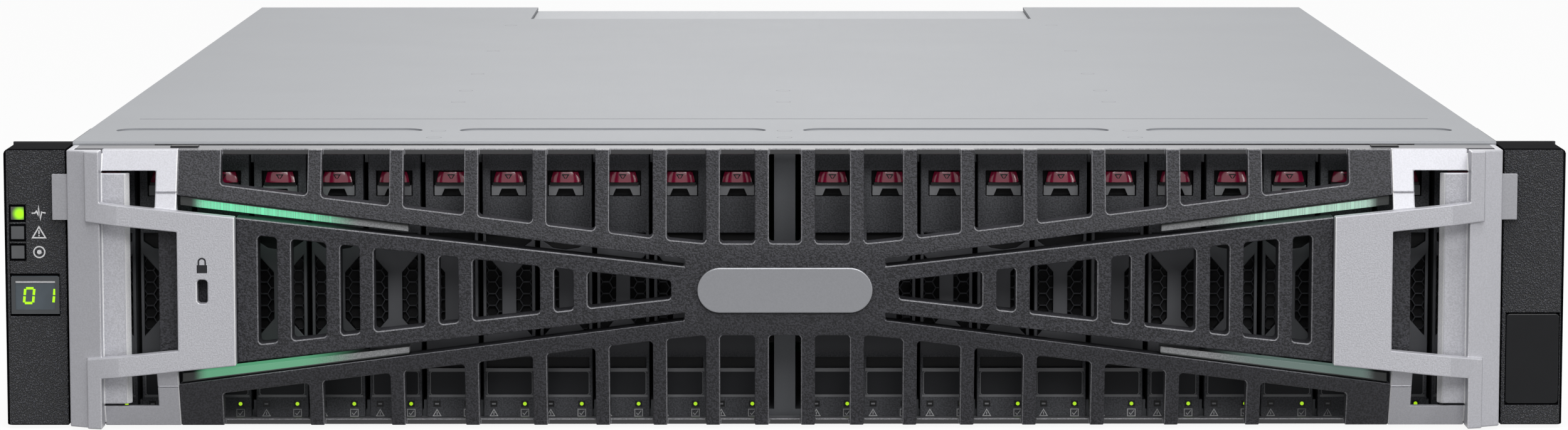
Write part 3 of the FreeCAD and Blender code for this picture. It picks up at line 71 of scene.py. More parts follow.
class Net:
    """One socket of a material's nodes. Arithmetic on it adds Math nodes."""

    def __init__(self, tree, socket=None):
        self.tree = tree
        self.socket = socket

    def fill(self, node, links):
        """Give a node's inputs their values, or links where the value is another socket."""
        for name, value in links.items():
            if isinstance(value, Net):
                self.tree.links.new(value.socket, node.inputs[name])
            else:
                node.inputs[name].default_value = value

    def node(self, kind, settings, links, out=0):
        """Add a node of any type: its settings first, then its inputs."""
        made = self.tree.nodes.new("ShaderNode" + kind)
        for name, setting in settings.items():
            setattr(made, name, setting)
        self.fill(made, links)
        return Net(self.tree, made.outputs[out])

    def math(self, operation, first, second=0.0):
        """Add a Math node."""
        return self.node("Math", {"operation": operation}, {0: first, 1: second})

    def __add__(self, other):
        return self.math("ADD", self, other)

    def __sub__(self, other):
        return self.math("SUBTRACT", self, other)

    def __rsub__(self, other):
        return self.math("SUBTRACT", other, self)

    def __mul__(self, other):
        return self.math("MULTIPLY", self, other)

    def __abs__(self):
        return self.math("ABSOLUTE", self)

    __radd__ = __add__
    __rmul__ = __mul__

    def between(self, low, high):
        """A smooth step from 0 at low to 1 at high."""
        return self.node("MapRange", {"interpolation_type": "SMOOTHSTEP"},
                         {"Value": self, "From Min": low, "From Max": high})

    def widened(self):
        """Noise, which keeps near a half, spread over 0 to 1."""
        return self.between(0.3, 0.7)

    def mixed(self, first, second):
        """The first colour where this is 0, the second where it is 1."""
        return self.node("Mix", {"data_type": "RGBA"}, {0: self, 6: first, 7: second}, 2)


def srgb(red, green, blue):
    """A screen colour, 0 to 255, as linear light."""
    shares = [share / 255 for share in (red, green, blue)]
    return [s / 12.92 if s <= 0.04045 else ((s + 0.055) / 1.055) ** 2.4 for s in shares] + [1.0]


def shaded(colour, share):
    """The colour made darker, or lighter where the share is above 1."""
    return [min(1.0, channel * share) for channel in colour[:3]] + [1.0]


def new_finish(name):
    """A new material: itself, its shader, its nodes and the piece's own coordinates."""
    made = bpy.data.materials.new(name)
    made.use_nodes = True
    net = Net(made.node_tree)
    return made, made.node_tree.nodes["Principled BSDF"], net, net.node("TexCoord", {}, {}, "Object")


def noise(net, place, size, detail=3.0):
    """Cloudy noise whose lumps are about the size across."""
    return net.node("TexNoise", {}, {"Vector": place, "Scale": 1 / size, "Detail": detail}, "Fac")


def raised(net, height, depth):
    """The normal of a surface lifted by up to the depth where the height is 1."""
    return net.node("Bump", {}, {"Height": height, "Distance": depth, "Strength": 1.0})


def rolled_sheet(name, colour, roughness=0.42, metallic=0.6):
    """Rolled metal: noise stretched fifty times along Y for the grain, slow noise for the uneven zinc."""
    made, shader, net, place = new_finish(name)
    stretched = net.node("Mapping", {}, {"Vector": place, "Scale": (1, 0.02, 1)})
    grain = noise(net, stretched, 0.5 * MM)
    cloud = noise(net, place, 60 * MM, 4.0)
    tone = (0.6 * grain + 0.4 * cloud).widened()
    net.fill(shader, {
        "Base Color": tone.mixed(shaded(colour, 0.96), shaded(colour, 1.04)),
        "Roughness": roughness - 0.05 + 0.1 * grain,
        "Metallic": metallic,
        "Normal": raised(net, grain, 0.02 * MM),
    })
    return made


def dress(node, finish):
    """Give a CAD node its finish."""
    slots = frame["nodes"][node].data.materials
    slots.clear()
    slots.append(finish)


SHEET = rolled_sheet("zinc_sheet", srgb(142, 144, 148), 0.6, 0.2)
INNER_SHEET = rolled_sheet("inner_sheet", srgb(96, 98, 102), 0.5, 0.3)
for node in ("chassis_tray", "top_cover"):
    dress(node, SHEET)
for node in ("drive_guides", "bay_partitions"):
    dress(node, INNER_SHEET)


def grid_faces(rows, columns, looped=False):
    """The quads of a grid of points whose last column joins its first, and if looped, its last row too."""
    row, column = np.meshgrid(np.arange(rows if looped else rows - 1), np.arange(columns), indexing="ij")
    below, beside = (row + 1) % rows, (column + 1) % columns
    corners = [(row, column), (row, beside), (below, beside), (below, column)]
    return np.stack([down * columns + along for down, along in corners], -1).reshape(-1, 4).tolist()


def carried(rings, looped=False):
    """A closed outline carried through stations: rings is stations x points x 3.

    Caps close the ends of an open run, and a looped run's last station joins its first.
    """
    stations, around = rings.shape[:2]
    faces = grid_faces(stations, around, looped)
    if not looped:
        faces.append(list(range(around))[::-1])
        faces.append(list(range((stations - 1) * around, stations * around)))
    return rings.reshape(-1, 3), faces


X, Y, Z = range(3)


def turned(profile, centre, axis, hollow=False, around=24):
    """A profile of (radius, height) points turned about the axis through the centre.

    A hollow profile closes on itself as a ring does, and another one is closed by flat caps at its ends.
    """
    profile = np.array(profile, float)
    angle = np.linspace(0, 2 * np.pi, around, endpoint=False)
    rings = np.empty((len(profile), around, 3))
    first, second = [other for other in (X, Y, Z) if other != axis]
    rings[:, :, first] = profile[:, :1] * np.cos(angle)
    rings[:, :, second] = profile[:, :1] * np.sin(angle)
    rings[:, :, axis] = profile[:, 1:]
    return carried(rings + np.array(centre), hollow)


def new_piece(name, parts, body, finishes):
    """One mesh of several parts, each of points, faces and a finish's number, which moves with the body."""
    points = np.concatenate([part[0] for part in parts])
    starts = np.cumsum([0] + [len(part[0]) for part in parts[:-1]])
    faces = [[corner + start for corner in face] for part, start in zip(parts, starts) for face in part[1]]
    mesh = bpy.data.meshes.new(name)
    mesh.from_pydata(points.tolist(), [], faces)
    numbers = np.concatenate([np.full(len(part[1]), part[2] if len(part) > 2 else 0) for part in parts])
    mesh.polygons.foreach_set("material_index", numbers.astype(np.int32))
    form = bmesh.new()
    form.from_mesh(mesh)
    bmesh.ops.recalc_face_normals(form, faces=form.faces)
    form.to_mesh(mesh)
    form.free()
    return shown(name, mesh, body, finishes)


SHARP = math.radians(25)


def shown(name, mesh, body, finishes):
    """Put a mesh into the scene with its finishes, smooth except at its sharp edges, on its body."""
    for finish in finishes:
        mesh.materials.append(finish)
    mesh.polygons.foreach_set("use_smooth", np.ones(len(mesh.polygons), bool))
    mesh.set_sharp_from_angle(angle=SHARP)
    piece = bpy.data.objects.new(name, mesh)
    bpy.context.scene.collection.objects.link(piece)
    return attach(piece, body)


EAR_SHEET = 2.0 * MM
case_low, case_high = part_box("top_cover")
flange_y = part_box("left_rack_ear")[0].y + EAR_SHEET
SEAM = rolled_sheet("rivet_seam", srgb(84, 85, 88), 0.6, 0.3)
BAY_WALL = 110
MIDDLE_RIVETS = (2, 24, 126, 170)
WALL_RIVETS = MIDDLE_RIVETS + (239, 343, 474)
rivets = [(0, y) for y in MIDDLE_RIVETS]
rivets += [(side * BAY_WALL, y) for side in (-1, 1) for y in WALL_RIVETS]
seam_profile = np.array([(2.45, -0.3), (2.45, 0.003), (2.2, 0.003), (2.2, -0.3)]) * MM
seams = [turned(seam_profile, (x * MM, flange_y + y * MM, case_high.z), Z, True) for x, y in rivets]
new_piece("cover_rivet_seams", seams, "chassis", [SEAM])


def screw(place, axis, outward=1):
    """A low screw head with a hollow for the key, turned about the axis and standing to the outward side."""
    profile = np.array([(2.6, -0.3), (2.6, 0.4), (2.1, 0.8), (1.2, 0.9), (1.1, 0.2), (0.05, 0.2)]) * MM
    return turned(profile * (1, outward), place, axis, around=16)


SCREW = rolled_sheet("screw_zinc", srgb(120, 121, 124), 0.4, 0.7)
SCREWS_ALONG = (-215, -75, 65, 205, 282)
SCREWS_UP = (9, 79)
side_screws = [screw((side * case_high.x, y * MM, z * MM), X, side)
               for side in (-1, 1) for y in SCREWS_ALONG for z in SCREWS_UP]
new_piece("side_screws", side_screws, "chassis", [SCREW])

# Midplane: a green circuit board across the case behind the drives, with black moulded plugs on both faces.
# It is screwed to the tray, and shows only when a drive or a rear module is drawn.


def moulded(name, colour, roughness, grain, depth, spread=0.12, crisp=0.2):
    """Moulded plastic: noise of the grain's size lifts the surface, lightens its peaks and dulls them.

    The smaller crisp is, the harder its lights and darks part. Slower noise, fifty times as wide, shades it
    a little from place to place.
    """
    made, shader, net, place = new_finish(name)
    bumps = noise(net, place, grain, 2.0)
    tone = 0.85 * bumps.between(0.5 - crisp, 0.5 + crisp) + 0.15 * noise(net, place, 50 * grain)
    net.fill(shader, {
        "Base Color": tone.mixed(shaded(colour, 1 - spread), shaded(colour, 1 + spread)),
        "Roughness": roughness + 0.08 * tone,
        "Specular IOR Level": 0.25,
        "Normal": raised(net, bumps, depth),
    })
    return made


BOARD = moulded("solder_mask", srgb(28, 92, 52), 0.35, 2 * MM, 0.01 * MM, 0.2)
PLUG = moulded("plug_black", srgb(26, 26, 28), 0.5, 0.6 * MM, 0.02 * MM)
dress("midplane_board", BOARD)
dress("midplane_connectors", PLUG)

# Rack ears: folded steel flanges, painted black, welded to the tray's sides. Their slots take the rack
# screws, under the ear caps.
EAR_PAINT = moulded("ear_paint", srgb(38, 38, 41), 0.45, 0.5 * MM, 0.01 * MM)
for side in ("left", "right"):
    dress(side + "_rack_ear", EAR_PAINT)

# Ear caps: black moulded covers with a fine leather grain on their faces, whose pebbles carry a painted
# highlight on top and painted shade between, and smooth black edges, pushed onto the ears. The left one
# carries three lamps, their printed signs and a display with a painted glint along its frame, the right one
# a bare plate.
CORNER = math.radians(30)
FLAT = math.radians(1)
MERGED = 0.001 * MM


def softened(node, name, width, finishes, rule=None, edge=0, spare=None):
    """A copy of a CAD node with its corners rounded over by the width, in two steps.

    The rounded strips start with the finish of number edge, all other faces with 0. The rule then gives
    each face its finish number from the faces' centres, normals and those first numbers. Faces that spare
    picks by their centre are left out.
    """
    form = bmesh.new()
    form.from_mesh(frame["nodes"][node].data)
    bmesh.ops.remove_doubles(form, verts=form.verts, dist=MERGED)
    bmesh.ops.dissolve_limit(form, angle_limit=FLAT, verts=form.verts, edges=form.edges)
    if spare:
        spared = [face for face in form.faces if spare(face.calc_center_median())]
        bmesh.ops.delete(form, geom=spared, context="FACES")
    for face in form.faces:
        face.material_index = 0
    corners = [e for e in form.edges if e.is_manifold and e.calc_face_angle() > CORNER]
    bmesh.ops.bevel(form, geom=corners, offset=width, offset_type="OFFSET", segments=2, profile=0.5,
                    affect="EDGES", clamp_overlap=False, loop_slide=False, material=edge)
    mesh = bpy.data.meshes.new(name)
    form.to_mesh(mesh)
    form.free()
    if rule:
        count = len(mesh.polygons)
        centres, normals = np.empty(count * 3), np.empty(count * 3)
        numbers = np.empty(count, np.int32)
        mesh.polygons.foreach_get("center", centres)
        mesh.polygons.foreach_get("normal", normals)
        mesh.polygons.foreach_get("material_index", numbers)
        ruled = rule(centres.reshape(-1, 3), normals.reshape(-1, 3), numbers)
        mesh.polygons.foreach_set("material_index", ruled.astype(np.int32))
    piece = shown(name, mesh, frame["nodes"][node]["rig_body"], finishes)
    piece.modifiers.new("level_faces", "WEIGHTED_NORMAL").keep_sharp = True
    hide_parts(node)
    return piece


def polished(name, colour, roughness=0.12, coat=0.0, shine=0.5):
    """A glossy moulding, a little uneven, so that its reflections waver."""
    made, shader, net, place = new_finish(name)
    waves = noise(net, place, 8 * MM)
    net.fill(shader, {
        "Base Color": waves.widened().mixed(shaded(colour, 0.9), shaded(colour, 1.1)),
        "Roughness": roughness + 0.06 * waves,
        "Coat Weight": coat,
        "Specular IOR Level": shine,
        "Normal": raised(net, waves, 0.01 * MM),
    })
    return made


def leather(name, colour, pebble, depth):
    """Pebbled plastic: rounded cells of the pebble's size stand up by the depth, with a painted highlight on
    top and painted shade between.

    Noise sways the cells out of their even shapes.
    """
    made, shader, net, place = new_finish(name)
    sway = net.node("TexNoise", {}, {"Vector": place, "Scale": 0.6 / pebble, "Detail": 1.0}, "Color")
    swayed = net.node("VectorMath", {"operation": "MULTIPLY_ADD"},
                      {0: sway, 1: (pebble, pebble, pebble), 2: place}, "Vector")
    far = net.node("TexVoronoi", {"feature": "SMOOTH_F1"},
                   {"Vector": swayed, "Scale": 1 / pebble, "Smoothness": 0.4}, "Distance")
    height = 1 - far.between(0.1, 0.75)
    net.fill(shader, {
        "Base Color": height.between(0.35, 0.9).mixed(shaded(colour, 0.3), shaded(colour, 2.2)),
        "Roughness": 0.4 + 0.1 * height,
        "Specular IOR Level": 0.4,
        "Normal": raised(net, height, depth),
    })
    return made


CAP_ROUND = 0.35 * MM
CAP_LEVEL, CAP_SIDE = 0.3, 0.5
# Painted highlight and shade: the pebbles' tops are painted far lighter and the gaps darker, for the light
# on the grain.
CAP_GRAIN_AND_GLINTS = leather("cap_grain_painted_glints", srgb(46, 47, 52), 0.45 * MM, 0.3 * MM)
CAP_GLOSS = polished("cap_gloss", srgb(10, 10, 12), 0.5, shine=0.002)


def cap_rule(centres, normals, numbers):
    """Polished on top, below and at the sides, grained elsewhere."""
    turn = np.abs(normals)
    return np.where((turn[:, Z] > CAP_LEVEL) | (turn[:, X] > CAP_SIDE), 1, 0)


for side in ("left", "right"):
    softened(side + "_ear_cap", side + "_ear_cap_moulding", CAP_ROUND, [CAP_GRAIN_AND_GLINTS, CAP_GLOSS], cap_rule)

UNLIT = [0, 0, 0, 1]
FAR = 9.0


def glow(name, colour, body, centre=(0, 0, 0), reach=FAR, strength=1.0):
    """A lit lens: brightest at the centre, falling to its unlit body colour at the reach.

    A reach far past the object lights it evenly.
    """
    made, shader, net, place = new_finish(name)
    away = net.node("VectorMath", {"operation": "DISTANCE"}, {0: place, 1: centre}, "Value")
    bright = 1 - away.between(reach * 0.2, reach)
    net.fill(shader, {
        "Base Color": bright.mixed(body, shaded(colour, 0.3)),
        "Roughness": 0.3,
        "Emission Color": bright.mixed(UNLIT, colour),
        "Emission Strength": strength,
    })
    return made


LAMP = 4.6 * MM
LAMP_PITCH = 6.05 * MM
LAMPS_DOWN = 18 * MM
LIT_ACROSS, LIT_DOWN = 0.65 * LAMP, 0.54 * LAMP
LIT_REACH = 2.7 * MM
LENS_ROUND = 0.3 * MM
lens_low, lens_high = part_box("status_lenses")
lit_centre = (lens_low.x + LIT_ACROSS, lens_low.y, lens_high.z - LIT_DOWN)
LAMP_LIT = glow("lamp_lit", srgb(170, 255, 0), srgb(86, 88, 78), lit_centre, LIT_REACH)
LAMP_DARK = polished("lamp_dark", srgb(88, 89, 92), 0.3)
SCREEN = polished("display_pane", srgb(78, 88, 96), 0.2, 0.3, 0.3)


def lens_rule(centres, normals, numbers):
    """The top lamp is lit, the two below it are dark, and the display lies under them."""
    down = lens_high.z - centres[:, Z]
    return np.where(down < LAMP, 0, np.where(down < LAMPS_DOWN, 1, 2))


softened("status_lenses", "status_lens_mouldings", LENS_ROUND, [LAMP_LIT, LAMP_DARK, SCREEN], lens_rule)

SHARPEST_MITRE = 0.3


def strip(path, width, front, closed=False, depth=0.1 * MM):
    """A flat bar along a path of (x, z) points: a rectangle of the width and depth carried along it.

    At each point the rectangle stands on the line that halves the path's bend, stretched to a mitre.
    """
    path = np.array(path, float)
    before, after = path - np.roll(path, 1, 0), np.roll(path, -1, 0) - path
    if not closed:
        before[0], after[-1] = after[0], before[-1]
    before /= np.linalg.norm(before, axis=1)[:, None]
    after /= np.linalg.norm(after, axis=1)[:, None]
    across = before + after
    across = np.stack([-across[:, 1], across[:, 0]], 1) / np.linalg.norm(across, axis=1)[:, None]
    mitre = across[:, 1] * before[:, 0] - across[:, 0] * before[:, 1]
    offset = across * (width / 2 / np.maximum(SHARPEST_MITRE, mitre))[:, None]
    sides = np.stack([path - offset, path + offset, path + offset, path - offset], 1)
    rings = np.empty((len(path), 4, 3))
    rings[:, :, X] = sides[:, :, 0]
    rings[:, :, Y] = np.array([front, front, front + depth, front + depth])
    rings[:, :, Z] = sides[:, :, 1]
    return carried(rings, closed)


def circle(x, z, radius, count=24):
    """Points round a circle."""
    angle = np.linspace(0, 2 * np.pi, count, endpoint=False)
    return np.stack([x + radius * np.cos(angle), z + radius * np.sin(angle)], 1)


# White print for the signs, also used for the painted glint along the display frame.
PRINT_AND_GLINT = moulded("sign_print_and_painted_glint", srgb(236, 236, 238), 0.6, 0.4 * MM, 0.0)
SIGN_X = -230.4 * MM
LINE = 0.42 * MM
PRINT_PROUD = 0.02 * MM
RING, DOT = 1.7 * MM, 0.35 * MM
PULSE = np.array([(-2.2, 0), (-1.2, 0), (-0.7, 0.6), (-0.2, -0.4),
                  (0.0, 2.0), (0.5, -1.8), (0.9, 0.3), (2.2, 0)]) * MM
TRIANGLE = np.array([(-2.0, -1.6), (0, 1.8), (2.0, -1.6)]) * MM
STROKE = np.array([(0, 0.7), (0, -0.5)]) * MM
POINT = np.array([(0, -0.8), (0, -1.15)]) * MM
cap_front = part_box("left_ear_cap")[0].y - PRINT_PROUD
lamp_rows = [lens_high.z - LAMP / 2 - number * LAMP_PITCH for number in range(3)]
signs = [
    strip(PULSE + (SIGN_X, lamp_rows[0]), LINE, cap_front),
    strip(TRIANGLE + (SIGN_X, lamp_rows[1]), LINE, cap_front, True),
    strip(STROKE + (SIGN_X, lamp_rows[1]), LINE, cap_front),
    strip(POINT + (SIGN_X, lamp_rows[1]), LINE, cap_front),
    strip(circle(SIGN_X, lamp_rows[2], RING), LINE, cap_front, True),
    strip(circle(SIGN_X, lamp_rows[2], DOT), 2 * DOT, cap_front, True),
]
new_piece("lamp_signs", signs, "chassis", [PRINT_AND_GLINT])


def box_outline(x0, x1, z0, z1):
    """The corners of an upright rectangle, clockwise seen from the front."""
    return [(x0, z0), (x0, z1), (x1, z1), (x1, z0)]


CHROME = polished("dark_chrome", srgb(52, 56, 60), 0.2, 0.3)
SURROUND = 0.6 * MM
DISPLAY_HIGH = 12.4 * MM
FRAME_LEFT, FRAME_RIGHT, FRAME_LOW, FRAME_HIGH = 0.7 * MM, 0.5 * MM, 0.9 * MM, 11.2 * MM
FRAME_WIDE, FRAME_PROUD, FRAME_DEEP = 1.3 * MM, 0.25 * MM, 0.5 * MM
GLINT_LEFT, GLINT_RIGHT, GLINT_UP = 1.4 * MM, 1.2 * MM, 10.2 * MM
GLINT_WIDE, GLINT_PROUD = 0.5 * MM, 0.1 * MM
holes = [box_outline(lens_low.x, lens_low.x + LAMP, row - LAMP / 2, row + LAMP / 2) for row in lamp_rows]
holes.append(box_outline(lens_low.x, lens_high.x, lens_low.z, lens_low.z + DISPLAY_HIGH))
surrounds = [(*strip(hole, SURROUND, cap_front, True), 0) for hole in holes]
pane = box_outline(lens_low.x + FRAME_LEFT, lens_high.x - FRAME_RIGHT,
                   lens_low.z + FRAME_LOW, lens_low.z + FRAME_HIGH)
surrounds.append((*strip(pane, FRAME_WIDE, cap_front - FRAME_PROUD, True, FRAME_DEEP), 1))
# Painted glint: a thin white strip in the print's finish along the top of the display frame stands in for a
# reflection.
glint_z = lens_low.z + GLINT_UP
glint = [(lens_low.x + GLINT_LEFT, glint_z), (lens_high.x - GLINT_RIGHT, glint_z)]
surrounds.append((*strip(glint, GLINT_WIDE, cap_front - GLINT_PROUD), 2))
new_piece("lamp_surrounds", surrounds, "chassis", [CAP_GLOSS, CHROME, PRINT_AND_GLINT])

DIGIT = glow("display_digit", srgb(175, 245, 10), srgb(90, 110, 20))
DIGIT_WIDE, DIGIT_HIGH, DIGIT_LEAN = 2.8 * MM, 4.6 * MM, 0.1
DIGIT_FIRST, DIGIT_SECOND = 3.9 * MM, 10.2 * MM
DIGIT_UP = 3.6 * MM
DIGIT_SUNK = 0.05 * MM
BAR_WIDE = 0.75 * MM
BAR_GAP = 0.09
BARS = {"a": ((0, 1), (1, 1)), "b": ((1, 1), (1, 0.5)), "c": ((1, 0.5), (1, 0)),
        "d": ((1, 0), (0, 0)), "e": ((0, 0), (0, 0.5)), "f": ((0, 0.5), (0, 1))}
digit_y = lens_low.y + DIGIT_SUNK


def digit(bars, x, z):
    """The lit bars of a seven-bar figure whose lower left corner is at (x, z), leaning to the right."""
    made = []
    for bar in bars:
        ends = np.array(BARS[bar], float) * (DIGIT_WIDE, DIGIT_HIGH)
        ends = ends + (ends[::-1] - ends) * BAR_GAP
        ends[:, 0] += x + ends[:, 1] * DIGIT_LEAN
        ends[:, 1] += z
        made.append(strip(ends, BAR_WIDE, digit_y))
    return made


figures = digit("abcdef", lens_low.x + DIGIT_FIRST, lens_low.z + DIGIT_UP)
figures += digit("bc", lens_low.x + DIGIT_SECOND, lens_low.z + DIGIT_UP)
new_piece("display_figures", figures, "chassis", [DIGIT])

PLATE_GLOSS = polished("plate_gloss", srgb(17, 18, 21), 0.25, shine=0.22)
PLATE_ROUND = 0.3 * MM
softened("label_blank", "blank_plate", PLATE_ROUND, [PLATE_GLOSS])

# Bezel lattice: one moulding in dark, finely textured plastic, whose rounded edges that face the middle or
# up carry a painted highlight in lighter grey. It clips between the two cast brackets and carries the light
# bars.
LATTICE = moulded("lattice_plastic", srgb(54, 54, 58), 0.45, 0.55 * MM, 0.3 * MM, 0.65, 0.12)
# Painted highlight: a lighter grey on the rounded edges, standing in for the light they catch.
LATTICE_HIGHLIGHT = moulded("lattice_painted_highlight", srgb(126, 126, 130), 0.25, 0.5 * MM, 0.05 * MM, 0.35)
RIM_GLOSS = polished("rim_gloss", srgb(30, 30, 33), 0.25, 0.3)
LATTICE_ROUND = 0.35 * MM
RIM_OUT = 41.1 * MM
RIM_BACK = 6.6 * MM
EDGE_TURN = 0.2
lattice_low, lattice_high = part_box("bezel_lattice")
middle_z = (lattice_low.z + lattice_high.z) / 2


def inward(centres, normals):
    """How far faces look towards the object's middle plane, from -1 to 1."""
    return -normals[:, X] * np.sign(centres[:, X])


def lattice_rule(centres, normals, numbers):
    """Gloss on the set-back rims, a painted highlight on rounded edges that face the middle or up, grain
    elsewhere.
    """
    rim = (np.abs(centres[:, Z] - middle_z) > RIM_OUT) & (centres[:, Y] > lattice_low.y + RIM_BACK)
    bright = (numbers == 1) & ((inward(centres, normals) > EDGE_TURN) | (normals[:, Z] > EDGE_TURN))
    return np.where(bright, 1, np.where(rim, 2, 0))


LATTICE_FINISHES = [LATTICE, LATTICE_HIGHLIGHT, RIM_GLOSS]
softened("bezel_lattice", "lattice_moulding", LATTICE_ROUND, LATTICE_FINISHES, lattice_rule, edge=1)

# Bezel brackets and latch tabs: die-cast end pieces in satin silver paint with a fine metallic grain, and
# sprung tabs beside them. The left bracket has a lock slot with a small padlock sign printed over it.


def metallic_paint(name, colour, roughness=0.42, grain=0.0, metallic=0.25, spread=0.07):
    """Satin metallic paint: fine flakes that lighten it and, where it is grained, lift the surface."""
    made, shader, net, place = new_finish(name)
    flakes = noise(net, place, 0.45 * MM, 2.0)
    net.fill(shader, {
        "Base Color": flakes.widened().mixed(shaded(colour, 1 - spread), shaded(colour, 1 + spread)),
        "Roughness": roughness + 0.1 * flakes,
        "Metallic": metallic,
        "Normal": raised(net, flakes, 0.01 * MM + grain),
    })
    return made


GRAINED_SILVER = metallic_paint("grained_silver", srgb(195, 195, 201), 0.42, 0.07 * MM, spread=0.1)
SILVER = metallic_paint("smooth_silver", srgb(186, 186, 192), 0.36)
# Painted highlight: near-white, non-metallic paint on the edges that face the middle, standing in for the
# light they catch.
PAINTED_HIGHLIGHT = metallic_paint("painted_highlight_edge", srgb(248, 248, 252), 0.4, metallic=0.0)
TAB_SILVER = metallic_paint("tab_silver", srgb(168, 168, 173), 0.4)
BRACKET_FINISHES = [GRAINED_SILVER, SILVER, PAINTED_HIGHLIGHT]
BRACKET_ROUND = 0.4 * MM
TAB_ROUND = 0.2 * MM
HIGHLIGHT_INWARD, HIGHLIGHT_FORWARD, UPRIGHT = 0.35, 0.2, 0.985


def bracket_rule(centres, normals, numbers):
    """Grained on upright fronts, a near-white painted highlight on edges that face the middle, smooth on
    leaning or turned faces.
    """
    forward = -normals[:, Y]
    bright = (inward(centres, normals) > HIGHLIGHT_INWARD) & (forward > HIGHLIGHT_FORWARD)
    return np.where(bright, 2, np.where(forward > UPRIGHT, 0, 1))


for side in ("left", "right"):
    softened(f"bezel_{side}_bracket", side + "_bracket_casting", BRACKET_ROUND, BRACKET_FINISHES,
             bracket_rule)
    softened(f"bezel_{side}_latch", side + "_latch_tab", TAB_ROUND, [TAB_SILVER])

INK = moulded("sign_ink", srgb(40, 40, 44), 0.6, 0.4 * MM, 0.0)
LOCK_X = -179.0 * MM
LOCK_UP = 7.4 * MM
LOCK_WIDE, SHACKLE_WIDE = 3.2 * MM, 0.5 * MM
INK_PROUD = 0.003 * MM
BOW = 1.05
LOCK_BODY = np.array([(0, -1.6), (0, 0.9)]) * MM
SHACKLE = np.concatenate([[(BOW, 0.9)], circle(0, 1.9, BOW)[:13], [(-BOW, 0.9)]]) * MM
bracket_low, bracket_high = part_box("bezel_left_bracket")
lock_place = (LOCK_X, (bracket_low.z + bracket_high.z) / 2 + LOCK_UP)
lock_y = bracket_low.y - INK_PROUD
lock = [
    strip(LOCK_BODY + lock_place, LOCK_WIDE, lock_y),
    strip(SHACKLE + lock_place, SHACKLE_WIDE, lock_y),
]
new_piece("padlock_sign", lock, "bezel", [INK])

# Bezel rails: two painted steel strips behind the lattice, from bracket to bracket. Two small black clips on
# the upper one hold the lattice, and a thin black seal under the cover's front lip closes the gap behind it.


def slab(outline, front, back):
    """An outline of (x, z) corners, clockwise seen from the front, carried from y = front to y = back."""
    flat = np.array(outline, float)
    rings = np.empty((2, len(flat), 3))
    rings[:, :, X] = flat[:, 0]
    rings[:, :, Z] = flat[:, 1]
    rings[:, :, Y] = np.array([front, back])[:, None]
    return carried(rings)


RAIL = metallic_paint("rail_paint", srgb(112, 112, 116))
CLIP_IN, CLIP_OUT = 181.5 * MM, 190 * MM
CLIP_FRONT, CLIP_BACK = 2 * MM, 6 * MM
CLIP_SUNK, CLIP_PROUD = 0.2 * MM, 0.5 * MM
SEAL_HALF = 196 * MM
SEAL_HIGH = 0.4 * MM
SEAL_PROUD = 0.06 * MM
dress("bezel_rails", RAIL)
rail_low, rail_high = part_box("bezel_rails")
clips = []
for side in (-1, 1):
    ends = sorted((side * CLIP_IN, side * CLIP_OUT))
    outline = box_outline(*ends, rail_high.z - CLIP_SUNK, rail_high.z + CLIP_PROUD)
    clips.append(slab(outline, rail_low.y + CLIP_FRONT, rail_low.y + CLIP_BACK))
new_piece("rail_clips", clips, "bezel", [PLUG])
seal_z = case_low.z + SEAL_HIGH / 2
seal = strip([(-SEAL_HALF, seal_z), (SEAL_HALF, seal_z)], SEAL_HIGH, case_low.y - SEAL_PROUD)
new_piece("cover_seal", [seal], "chassis", [PLUG])

# Light bars: four clear moulded bars under the beams, lit green along their outer part and fading to bare
# grey. The upper two are finely ribbed across, the lower two smooth and dimmer.
PALE_GREEN = srgb(112, 232, 176)
MINT = srgb(172, 214, 193)
DIM_GREEN = srgb(86, 155, 117)
DIM_MINT = srgb(87, 106, 100)
BAR_DARK = srgb(52, 55, 54)
LIT_FROM = (130 * MM, 150 * MM)
LIT_TO = (178 * MM, 183 * MM)
MARGIN = (0.45 * MM, 0.65 * MM)
HALVES = (-10 * MM, 10 * MM)
BAR_ROUND = 0.2 * MM
pipe_mesh = frame["nodes"]["light_pipes"].data
pipe_points = np.empty(len(pipe_mesh.vertices) * 3, np.float32)
pipe_mesh.vertices.foreach_get("co", pipe_points)
pipe_out = np.abs(pipe_points[0::3])
pipe_rise = np.abs(pipe_points[2::3] - middle_z)
inner_out, outer_out = float(pipe_out.min()), float(pipe_out.max())
inner_rise, outer_rise = float(pipe_rise[pipe_out < inner_out + MM].max()), float(pipe_rise.max())
pipe_slope = (outer_rise - inner_rise) / (outer_out - inner_out)


